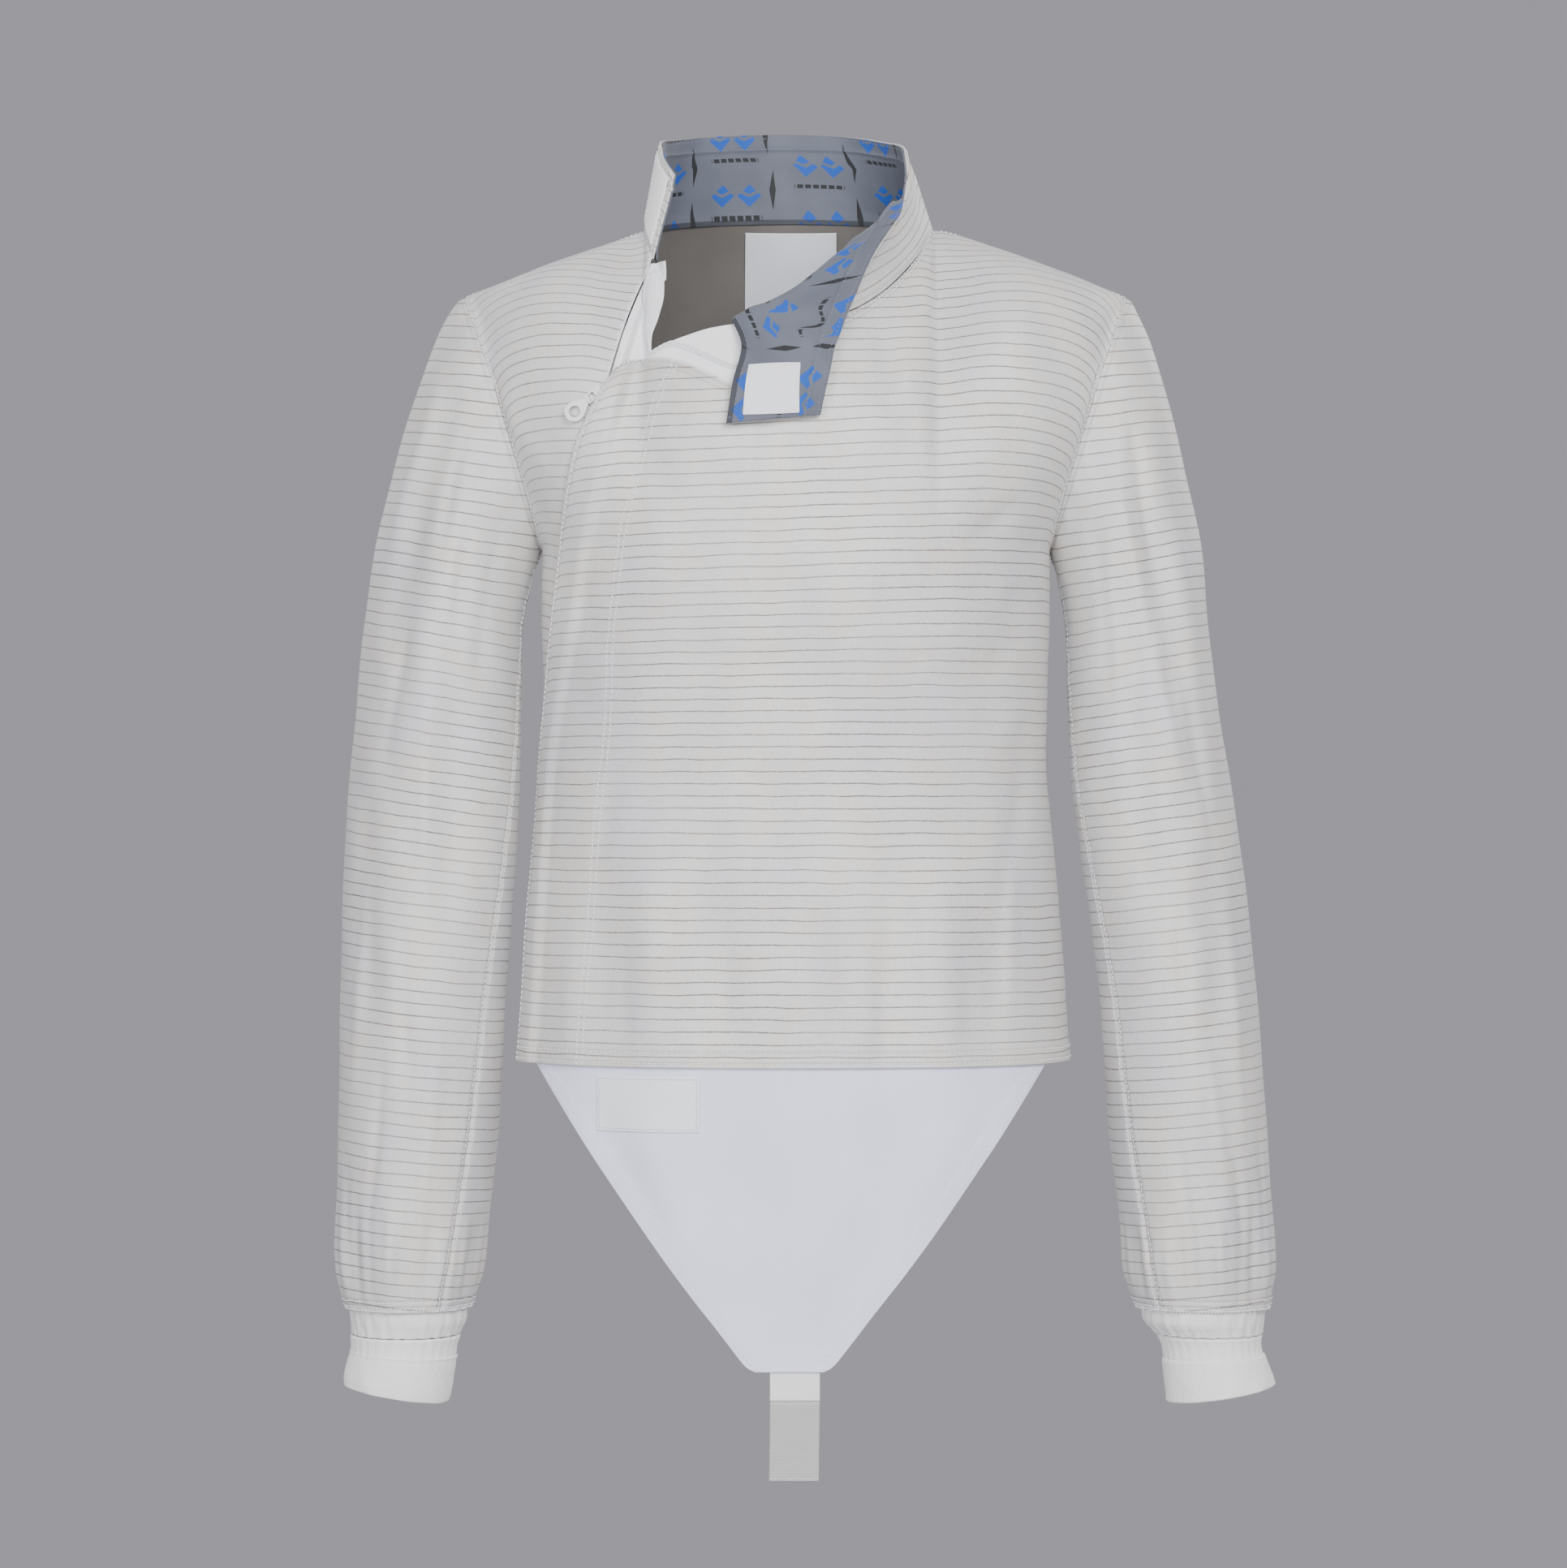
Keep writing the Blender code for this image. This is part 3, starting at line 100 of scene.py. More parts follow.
torso = {
    "hemZ": -482.0, "armpitZ": -182.0, "armpitX": 150.0, "tipX": 196.5, "tipZ": -32.0,
    "armholeFront": 50.0, "armholeBack": 58.0, "armholeBow": 3.0, "armholeSoftness": 2.2, "softReach": 0.4,
    "round": 2.4, "sideFall": 2.0, "shoulderRound": 2.6, "neckSlopeRound": 1.6, "neckSlopeReach": 60.0,
    "arch": -0.5, "neckDip": 1.5,
    "neckRight": 88.0, "neckLeft": 80.0, "neckFront": 80.0, "neckBack": 62.0,
    "neckSideZ": 8.0, "neckFrontZ": -55.0, "neckBackZ": 21.0, "neckRightFullness": 0.45,
    "sections": [  # z, half width, front depth, back depth
        (-482, 162.0, 100, 95), (-440, 159.5, 98, 92), (-390, 155.5, 96, 88), (-340, 150.5, 95, 86),
        (-300, 148.0, 96, 88), (-260, 148.5, 99, 93), (-220, 150.0, 103, 98), (-182, 150.0, 105, 100),
        (-150, 150.0, 105, 100)],
    # folds: x and z of both ends, half width, height (a trough is negative)
    "frontFolds": [
        (46, -40, 56, -98, 7, -4.5), (62, -62, 72, -130, 9, 2.5), (-70, -150, 70, -160, 26, -2.0),
        (-142, -168, -112, -250, 10, -3.5), (144, -172, 112, -262, 11, -4.5), (150, -210, 132, -330, 12, -4.0),
        (-109, -350, -112, -500, 12, -3.0), (-84, -340, -82, -500, 14, 3.0), (-51, -370, -52, -500, 12, -3.0),
        (-6, -330, 0, -500, 24, 2.5), (54, -360, 52, -500, 12, -3.5), (84, -350, 86, -500, 14, 3.0),
        (113, -370, 111, -500, 11, -3.0)],
    "backFolds": [
        (-140, -165, -98, -240, 12, -4.0), (142, -170, 104, -236, 12, -4.5), (-60, -96, 62, -104, 24, 2.0),
        (-96, -330, -100, -500, 13, -3.5), (-62, -300, -60, -500, 16, 3.0), (-24, -350, -26, -500, 12, -3.0),
        (28, -320, 30, -500, 17, 3.0), (70, -340, 74, -500, 13, -3.5), (108, -360, 110, -500, 12, 3.0)],
}
torsoHalf, torsoFront, torsoBack = curvesOf(torso["sections"])


def armholeAngle(z):
    share = np.clip((z - torso["armpitZ"]) / (torso["tipZ"] - torso["armpitZ"]), 0, 1)
    return np.arccos(1 - 2 * share)


def sideX(z):  # half width at the side seam or the armhole
    angle = armholeAngle(z)
    upper = lerp(torso["armpitX"], torso["tipX"], swing(angle)) - torso["armholeBow"] * np.sin(angle) ** 2
    return np.where(z <= torso["armpitZ"], torsoHalf(z), upper)


def shoulderZ(x):
    t = np.clip((np.abs(x) - torso["neckRight"]) / (torso["tipX"] - torso["neckRight"]), 0, 1)
    return lerp(torso["neckSideZ"], torso["tipZ"], t) + torso["arch"] * np.sin(math.pi * t)


def neckPoint(degrees):  # 0 is the front, 90 the wearer's left, 180 the back
    s, c = np.sin(np.radians(degrees)), np.cos(np.radians(degrees))
    reach = np.where(s > 0, torso["neckLeft"], torso["neckRight"])
    fullness = np.where((s < 0) & (c > 0), torso["neckRightFullness"], 1.0)
    x = np.sign(s) * reach * np.abs(s) ** fullness
    front = c > 0
    y = np.where(front, -torso["neckFront"] * c, -torso["neckBack"] * c)
    z = np.where(front, lerp(torso["neckSideZ"], torso["neckFrontZ"], np.clip(c, 0, 1) ** torso["neckDip"]),
                 lerp(torso["neckSideZ"], torso["neckBackZ"], np.clip(-c, 0, 1)))
    return np.stack((x, y, z), axis=-1)


def rim(x, front):  # height and depth of a panel's top edge above x, and how the cloth rounds over towards it
    reach = np.where(x > 0, torso["neckLeft"], torso["neckRight"])
    fullness = np.where(x < 0, torso["neckRightFullness"] if front else 1.0, 1.0)
    ratio = np.clip(np.abs(x) / reach, 0, 1)
    degrees = np.degrees(np.arcsin(ratio ** (1 / fullness)))
    degrees = degrees if front else 180 - degrees
    point = neckPoint(np.copysign(degrees, x))
    outside = np.abs(x) >= reach
    beyond = smooth((np.abs(x) - reach) / torso["neckSlopeReach"])
    sloped = lerp(torso["neckSlopeRound"], torso["shoulderRound"], beyond)
    share = ratio ** 3
    power = np.where(outside, sloped, lerp(torso["shoulderRound"], torso["neckSlopeRound"], share))
    ease = np.where(outside, 1 / sloped, lerp(1.0, 1 / torso["neckSlopeRound"], share))
    height, depth = np.where(outside, shoulderZ(x), point[..., 2]), np.where(outside, 0.0, np.abs(point[..., 1]))
    return height, depth, power, ease


def fold(along, across, width, height):  # one fold: it swells from nothing and runs out to nothing
    swell = np.where((along > 0) & (along < 1), height * np.sin(math.pi * np.clip(along, 0, 1)), 0)
    return swell * bell(across, width)


def foldField(x, z, folds):
    total = np.zeros(np.broadcast(x, z).shape)
    for x0, z0, x1, z1, width, height in folds:
        dx, dz = x1 - x0, z1 - z0
        length = math.hypot(dx, dz)
        along = ((x - x0) * dx + (z - z0) * dz) / length ** 2
        across = ((x - x0) * dz - (z - z0) * dx) / length
        total += fold(along, across, width, height)
    return total


def creaseField(place, level, creases):  # the same for a table of place and level at both ends
    total = np.zeros(place.shape)
    for place0, level0, place1, level1, width, height in creases:
        along = (level - level0) / (level1 - level0)
        total += fold(along, place - lerp(place0, place1, along), width, height)
    return total


def acrossShare(x, half):
    return np.maximum(1 - np.minimum(np.abs(x) / half, 1.0) ** torso["round"], 0.0) ** (1 / torso["round"])


def edgeReach(z, across, front):  # how far the armhole pulls the cloth out, with a soft start inland
    reach = torso["armholeFront"] if front else torso["armholeBack"]
    power = 1 + torso["armholeSoftness"] * smooth(across / torso["softReach"])
    depth = reach * np.sin(armholeAngle(z)) ** power
    return np.where((z > torso["armpitZ"]) & (z < torso["tipZ"]), depth, 0.0) * (1 - across) ** torso["sideFall"]


def bodyPoint(x, z, front=True):
    x, z = np.broadcast_arrays(np.asarray(x, float), np.asarray(z, float))
    across = acrossShare(x, sideX(z))
    depth = (torsoFront if front else torsoBack)(np.minimum(z, torso["armpitZ"]))
    topZ, topY, power, ease = rim(x, front)
    topAcross = acrossShare(x, sideX(topZ))
    top = (topY - edgeReach(topZ, topAcross, front)) / np.maximum(topAcross, 0.05)
    share = np.clip((z - torso["armpitZ"]) / (topZ - torso["armpitZ"]), 0, 1)
    drop = 1 - (1 - share ** power) ** ease
    y = edgeReach(z, across, front) + lerp(depth, top, drop) * across
    y = y + foldField(x, z, torso["frontFolds" if front else "backFolds"]) * across * (1 - drop)
    return np.stack((x, -y if front else y, z), axis=-1)


# Placket, zip line and the drooping top edge of the main front

closure = {
    "lines": [  # z, placket's edge, zip line
        (-482, -160.2, -156.5), (-400, -155.0, -151.5), (-300, -147.0, -143.5), (-208, -138.0, -131.0),
        (-130, -127.0, -118.0), (-94, -112.0, -109.5), (-80, -104.8, -106.0), (-52, -97.0, -98.0),
        (-12, -83.9, -83.2)],
    "droop": [(-104.8, -80.0), (-101.8, -77.8), (-98.7, -76.0), (-90.5, -74.6), (-78.0, -74.8),
              (-64.5, -78.0), (-50.0, -84.5), (-35.0, -90.5), (-20.0, -79.0), (-5.0, -64.0)],
    "lift": 3.2, "flapInner": 6.5, "flapSlope": 9.0, "sliderBulge": 3.0, "sliderZ": -95.0, "sliderReach": 13.0,
    "halvings": 26,
    "neckAngles": (8, 18, 30, 44, 60, 75, 90), "shoulderStops": (100, 119, 140, 161, 181, 196.5),
    "sideShoulderStops": (196.5, 175, 150, 126, 104), "sideNeckAngles": (-90, -81, -72, -62),
    "backNeckAngles": (-90, -108, -126, -144, -162, 180, 162, 144, 126, 108, 90),
}
placketX, zipX = curvesOf(closure["lines"])
droopZ = curvesOf(closure["droop"])[0]


def fromZip(x, z):
    here, line = bodyPoint(x, z), bodyPoint(zipX(z), z)
    return np.copysign(np.hypot(here[..., 0] - line[..., 0], here[..., 1] - line[..., 1]), x - line[..., 0])


def besideZip(z, distance):  # x at a distance round the body from the zip line
    z = np.asarray(z, float)
    distance = np.broadcast_to(np.asarray(distance, float), z.shape)
    low, high = zipX(z) - 1, zipX(z) + np.abs(distance) * 1.5 + 1  # it lies between these two
    for _ in range(closure["halvings"]):
        middle = (low + high) / 2
        less = fromZip(middle, z) < distance
        low, high = np.where(less, middle, low), np.where(less, high, middle)
    return low


def placketLift(x, z):
    away = 1 - smooth((fromZip(x, z) - closure["flapInner"]) / closure["flapSlope"])
    return away * (closure["lift"] + closure["sliderBulge"] * bell(z - closure["sliderZ"], closure["sliderReach"]))


def crossNormals(points):
    return unit(np.cross(np.gradient(points, axis=0), np.gradient(points, axis=1)))


def gridNormals(points, front=True):  # the same, turned so that the grid's middle faces forward, or back
    normals = crossNormals(points)
    ahead = normals[points.shape[0] // 2, points.shape[1] // 2, 1] < 0
    return normals if ahead == front else -normals


lowRows = 44  # of a panel, from the hem to the armpit


def panelGrid(tops, front, lines=(), rightEdge=None, highRows=64, perColumn=6):  # tops: x and z along the top edge
    tops = np.array(tops, float)
    count, first = len(tops), max(len(lines) - 1, 0)
    f = np.linspace(0, count - 1, (count - 1) * perColumn + 1)
    topX, topZ = (Curve(range(count), tops[:, k])(f) for k in (0, 1))
    even = np.linspace(0, 1, highRows + 1)
    share = np.concatenate((np.zeros(lowRows), lerp(even, swing(math.pi * even), 0.5)))[:, None]
    z = lerp(torso["armpitZ"], topZ[None], share)
    z[:lowRows] = lerp(torso["hemZ"], torso["armpitZ"], np.arange(lowRows)[:, None] / lowRows)

    def edges(z):
        return lines[-1](z) if lines else -sideX(z), rightEdge(z) if rightEdge else sideX(z)

    topStart, topEnd = edges(topZ)
    topShare = np.minimum((topX - topStart) / (topEnd - topStart), 1.0)
    start, end = edges(z)
    half = sideX(z)
    turns = [np.arcsin(np.clip(edge / half, -1, 1)) for edge in (start, end)]
    roundX = half * np.sin(lerp(*turns, (f - first) / (count - 1 - first)))
    x = lerp(start, end, lerp((roundX - start) / (end - start), topShare, share ** 1.5))
    for k in range(first):  # the columns between the lines that follow the placket
        x = np.where((f >= k) & (f < k + 1), lerp(lines[k](z), lines[k + 1](z), f - k), x)
    return bodyPoint(x, z, front)


def neckTops(angles):
    return [tuple(neckPoint(a)[[0, 2]]) for a in angles]


def shoulderTops(stops, side):
    return [(side * s, float(shoulderZ(s))) for s in stops]


levelsOfFlap = np.linspace(torso["hemZ"], -10, 150)
flapInner = Curve(levelsOfFlap, besideZip(levelsOfFlap, closure["flapInner"]))
flapEnd = Curve(levelsOfFlap, besideZip(levelsOfFlap, closure["flapInner"] + closure["flapSlope"]))


def midFlap(z):
    return (placketX(z) + flapInner(z)) / 2


# Grids of points: each is rows by columns, outer face of a cloth

def arcFrom(points, axis, end):  # distance along the rows or columns from one end of them
    steps = np.linalg.norm(np.diff(points, axis=axis), axis=2)
    start = np.zeros_like(np.take(steps, [0], axis=axis))
    total = np.concatenate((start, np.cumsum(steps, axis=axis)), axis=axis)
    return np.take(total, [-1], axis=axis) - total if end else total


edgeOf = {"left": (1, 0), "right": (1, 1), "bottom": (0, 0), "top": (0, 1)}


def nearestEdge(points):
    return np.min([arcFrom(points, *place) for place in edgeOf.values()], axis=0)


lip = {  # steps: distance from the edge, and its largest share of the way to the next line
    "steps": [(0.3, 0.8 / 3), (0.8, 1.6 / 3), (1.7, 0.8)], "roundness": 0.86,
}


def fineEdges(points):  # extra lines near the edges, for their round lip
    for axis, end in edgeOf.values():
        p = np.moveaxis(points, axis, 0)
        p = p[::-1] if end else p
        gap = np.linalg.norm(p[1] - p[0], axis=-1, keepdims=True)
        extra = [lerp(p[0], p[1], np.minimum(step / np.maximum(gap, 1e-6), most)) for step, most in lip["steps"]]
        p = np.concatenate((p[:1], np.array(extra), p[1:]))
        points = np.moveaxis(p[::-1] if end else p, 0, axis)
    return points


def lipDrop(points, edges, thickness):
    radius = thickness / 2
    drop = np.zeros(points.shape[:2])
    for name in edges:
        away = np.clip(arcFrom(points, *edgeOf[name]) / radius, 0, 1)
        drop = np.maximum(drop, radius * lip["roundness"] * (1 - np.sqrt(np.clip(1 - (1 - away) ** 2, 0, 1))))
    return drop


def makeMesh(name, verts, faces, looks, attributes=None, faceLooks=None):
    mesh = bpy.data.meshes.new(name)
    mesh.from_pydata(verts.tolist(), [], faces)
    for look in looks:
        mesh.materials.append(look)
    if faceLooks is not None:
        mesh.polygons.foreach_set("material_index", faceLooks)
    for key, values in (attributes or {}).items():
        layer = mesh.attributes.new(key, "FLOAT_VECTOR", "POINT")
        layer.data.foreach_set("vector", np.ascontiguousarray(values, dtype=np.float32).ravel())
    mesh.shade_smooth()
    mesh.update()
    made = bpy.data.objects.new(name, mesh)
    bpy.context.scene.collection.objects.link(made)
    return made


def makeWall(name, outer, inner, looks, cloth, fromEdges, closed):
    rows, columns = outer.shape[:2]
    count = rows * columns
    spans = columns if closed else columns - 1
    i, j = np.meshgrid(np.arange(rows - 1), np.arange(spans), indexing="ij")
    k = (j + 1) % columns
    a, b, c, d = i * columns + j, i * columns + k, (i + 1) * columns + k, (i + 1) * columns + j
    face = np.stack((a, b, c, d), -1)
    rims = [np.stack((b, a, a + count, b + count), -1)[0], np.stack((d, c, c + count, d + count), -1)[-1]]
    if not closed:
        rims += [np.stack((c, b, b + count, c + count), -1)[:, -1], np.stack((a, d, d + count, a + count), -1)[:, 0]]
    face = face.reshape(-1, 4)
    faces = np.concatenate([face, face[:, ::-1] + count] + rims)
    verts = np.concatenate((outer.reshape(-1, 3), inner.reshape(-1, 3))) * mm
    middle = face[len(face) // 2]
    turn = np.cross(verts[middle[1]] - verts[middle[0]], verts[middle[3]] - verts[middle[0]])
    if np.dot(turn, verts[middle[0]] - verts[middle[0] + count]) < 0:
        faces = faces[:, ::-1]
    inside = np.zeros(len(faces), dtype=np.int32)
    if len(looks) > 1:
        inside[len(face):2 * len(face)] = 1
    attributes = {key: np.concatenate((value.reshape(-1, 3),) * 2) * mm for key, value in
                  (("cloth", cloth), ("edges", fromEdges))}
    return makeMesh(name, verts, faces.tolist(), looks, attributes, inside)


def makeCloth(name, points, normals, thickness, looks, cloth=None, lips=tuple(edgeOf), closed=False,
              slot="white_cloth", flat=None, area=None, held="hung", restsOn=()):
    drop = lipDrop(points, lips, thickness)[..., None]
    outer, inner = points - normals * drop, points - normals * (thickness - drop)
    left, right, bottom, top = (arcFrom(points, *place) for place in edgeOf.values())
    across, along = clothPlace(points) if cloth is None else cloth
    made = makeWall(name + "_cloth", outer, inner, [finishes[look] for look in looks],
                    np.stack((across, along, top), -1), np.stack((left, right, bottom), -1), closed)
    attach(made, "garment")
    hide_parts(name)
    [other + "_cloth" for other in restsOn]


def clothPlace(points):  # where a point lies on the flat cloth: across and along, in millimetres
    across = arcFrom(points, 1, 0)
    middle = np.argmin(np.abs(points[..., 0]), axis=1)
    across = across - across[np.arange(len(across)), middle][:, None]
    along = arcFrom(points, 0, 0) + points[:1, :, 2]
    return across, along


# Thread: short stitches, joined into one mesh for each colour

threadLists = {key: [] for key in ("thread_silver", "thread_white", "thread_grey", "thread_blue", "zip_coils")}
# Place along the thread, radius and height of each ring of a stitch
stitchRings = ((-0.5, 0.35, -0.6), (-0.3, 0.95, 0.25), (0.3, 0.95, 0.25), (0.5, 0.35, -0.6))


def rowsAt(where, s, rows):
    return np.stack([np.interp(where, s, rows[:, k]) for k in range(3)], -1)


def lengthOf(path):
    return np.linalg.norm(np.diff(path, axis=0), axis=1).sum()


def alongPath(path, normals, at):  # centre, way forward and way up at each of the distances
    s = np.concatenate(([0.0], np.cumsum(np.linalg.norm(np.diff(path, axis=0), axis=1))))
    forward = unit(rowsAt(at + 0.4, s, path) - rowsAt(at - 0.4, s, path))
    return rowsAt(at, s, path), forward, unit(rowsAt(at, s, normals))


def addThreads(kind, centre, forward, up, length, radius, sides=5):
    turn = 2 * math.pi * np.arange(sides) / sides
    up = unit(up - forward * np.sum(up * forward, axis=-1, keepdims=True))
    side = np.cross(forward, up)
    rings = []
    for t, r, h in stitchRings:
        middle = centre + forward * (t * np.reshape(length, (-1, 1))) + up * (h * radius)
        rings.append(middle[:, None] + side[:, None] * (np.cos(turn) * r * radius)[None, :, None]
                     + up[:, None] * (np.sin(turn) * r * radius)[None, :, None])
    verts = np.stack(rings, 1).reshape(len(centre), -1, 3)
    base = []
    for ring in range(len(stitchRings) - 1):
        for q in range(sides):
            n = (q + 1) % sides
            base.append((ring * sides + q, ring * sides + n, (ring + 1) * sides + n, (ring + 1) * sides + q))
    last = (len(stitchRings) - 1) * sides
    caps = [tuple(range(sides - 1, -1, -1)), tuple(range(last, last + sides))]
    threadLists[kind].append((verts, base, caps))


def stitchRow(kind, line, pitch=3.2, length=2.35, radius=0.36, lift=0.1, span=(0.0, 1.0)):
    path, normals = line
    total = lengthOf(path)
    start, end = span[0] * total, span[1] * total
    count = max(int((end - start) / pitch), 1)
    at = start + (np.arange(count) + 0.5) * (end - start) / count
    centre, forward, up = alongPath(path, normals, at)
    sway = 0.16 * np.sin(at * 1.7) + 0.1 * np.sin(at * 0.61 + 1)  # hand-fed cloth never runs quite straight
    centre = centre + np.cross(forward, up) * sway[:, None] + up * lift
    addThreads(kind, centre, forward, up, length * (1 + 0.08 * np.sin(at * 2.3)), radius)


def overlockRow(kind, line, reach=2.8, pitch=1.5, radius=0.26, span=(0.0, 1.0), inward=1):
    path, normals = line
    total = lengthOf(path)
    at = np.arange(span[0] * total, span[1] * total, pitch)
    centre, forward, up = alongPath(path, normals, at)
    side = np.cross(forward, up) * inward
    long = reach * (1 + 0.22 * np.sin(at * 1.9) + 0.12 * np.sin(at * 5.1))
    lean = unit(side + forward * (0.32 * np.sin(at * 2.7))[:, None])
    addThreads(kind, centre + lean * (long / 2 - 0.7)[:, None], lean, up, long, radius)
    addThreads(kind, centre - up * 0.25 - side * 0.1, forward, up, np.full(len(at), pitch * 1.25), radius * 1.5)


def edgeLine(points, normals, edge, distance):  # the line at a distance inside an edge of a grid
    axis, end = edgeOf[edge]
    p, n = np.moveaxis(points, axis, 1), np.moveaxis(normals, axis, 1)
    away = np.moveaxis(arcFrom(points, axis, end)[..., None], axis, 1)[..., 0]
    if end:
        p, n, away = p[:, ::-1], n[:, ::-1], away[:, ::-1]
    return tuple(np.array([rowsAt(distance, s, row) for s, row in zip(away, rows)]) for rows in (p, n))


def crossLine(points, normals, xAt):  # the line over a panel where x follows a curve of height
    path, up = [], []
    for row, turn in zip(points, normals):
        x = float(np.atleast_1d(xAt(np.interp(xAt(row[0, 2]), row[:, 0], row[:, 2])))[0])
        if row[0, 0] - 0.5 < x < row[-1, 0] + 0.5:
            path.append(rowsAt(x, row[:, 0], row))
            up.append(rowsAt(x, row[:, 0], turn))
    return np.array(path), np.array(up)


def finishThreads():
    for kind, parts in threadLists.items():
        verts, faces, start = [], [], 0
        for block, base, caps in parts:
            count, each = block.shape[:2]
            verts.append(block.reshape(-1, 3))
            shift = start + np.arange(count)[:, None, None] * each
            faces += (np.array(base)[None] + shift).reshape(-1, 4).tolist()
            faces += (np.array(caps)[None] + shift).reshape(-1, len(caps[0])).tolist()
            start += count * each
        made = makeMesh(kind, np.concatenate(verts) * mm, faces, [finishes[kind]])
        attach(made, "garment")
        print(kind, len(faces), "faces")


# Materials: sums of sockets are written as Python expressions

class Wire:  # one socket, whose operators add Math nodes

    def __init__(self, look, socket):
        self.look, self.socket = look, socket

    def math(self, operation, *others):
        return self.look.calc(operation, self, *others)

    def __add__(self, other):
        return self.math("ADD", other)

    def __sub__(self, other):
        return self.math("SUBTRACT", other)

    def __rsub__(self, other):
        return self.look.calc("SUBTRACT", other, self)

    def __mul__(self, other):
        return self.math("MULTIPLY", other)

    def __truediv__(self, other):
        return self.math("DIVIDE", other)

    __radd__, __rmul__ = __add__, __mul__

    def wave(self, period):  # 0 to 1 and back, once a period
        return (self * (2 * math.pi / period)).math("SINE") * 0.5 + 0.5

    def hill(self, centre, width):  # 1 at the centre, falling softly to 0
        off = (self - centre) / width
        return (off * off * -1.0).math("EXPONENT")

    def ramp(self, low, high):  # soft step from 0 at low to 1 at high
        settings = {"interpolation_type": "SMOOTHSTEP"}
        return self.look.add("ShaderNodeMapRange", settings, {"Value": self, "From Min": low, "From Max": high})


class Look:  # a material

    def __init__(self, name, sockets):
        self.material = bpy.data.materials.new(name)
        self.material.use_nodes = True
        self.tree = self.material.node_tree
        self.shader = self.tree.nodes["Principled BSDF"]
        for key, value in sockets.items():
            self.shader.inputs[key].default_value = value

    def add(self, kind, settings=None, links=None, out=0):
        made = self.tree.nodes.new(kind)
        for key, value in (settings or {}).items():
            setattr(made, key, value)
        for key, value in (links or {}).items():
            self.set(made.inputs[key], value)
        return Wire(self, made.outputs[out])

    def calc(self, operation, *values):
        return self.add("ShaderNodeMath", {"operation": operation}, dict(enumerate(values)))

    def set(self, socket, value):
        if isinstance(value, Wire):
            self.tree.links.new(value.socket, socket)
        else:
            socket.default_value = value

    def place(self, key="cloth"):  # x, y, z of a vector stored on the mesh, in metres
        vector = self.add("ShaderNodeAttribute", {"attribute_name": key}, out=1)
        made = self.tree.nodes.new("ShaderNodeSeparateXYZ")
        self.set(made.inputs[0], vector)
        return [Wire(self, made.outputs[k]) for k in range(3)]

    def vector(self, x, y, z=0.0):
        return self.add("ShaderNodeCombineXYZ", None, {0: x, 1: y, 2: z})

    def noise(self, vector, scale, detail=2.0, roughness=0.5):
        links = {"Vector": vector, "Scale": scale, "Detail": detail, "Roughness": roughness}
        return self.add("ShaderNodeTexNoise", None, links)

    def mix(self, factor, a, b, blend="MIX"):
        return self.add("ShaderNodeMix", {"data_type": "RGBA", "blend_type": blend}, {0: factor, 6: a, 7: b}, out=2)

    def bump(self, height, strength=1.0):  # height in metres
        return self.add("ShaderNodeBump", None, {"Strength": strength, "Distance": 1.0, "Height": height})

    def finish(self, colour=None, roughness=None, normal=None, metallic=None):
        values = {"Base Color": colour, "Roughness": roughness, "Normal": normal, "Metallic": metallic}
        for key, value in values.items():
            if value is not None:
                self.set(self.shader.inputs[key], value)
        return self.material


def paint(r, g, b):  # a colour as the eye sees it, 0 to 255
    return tuple(((c / 255 + 0.055) / 1.055) ** 2.4 if c > 10 else c / 255 / 12.92 for c in (r, g, b)) + (1.0,)


lame = {  # lengths in metres, as in all materials
    "light": paint(220, 218, 215), "cool": paint(209, 210, 214), "warm": paint(216, 209, 199),
    "line": paint(108, 98, 88), "linePitch": 0.0071, "lineWander": 0.0024, "rib": 0.00104, "course": 0.0013,
    "roughness": 0.62, "metallic": 0.12, "groove": 0.0011, "grooveDepth": 0.0005,
}


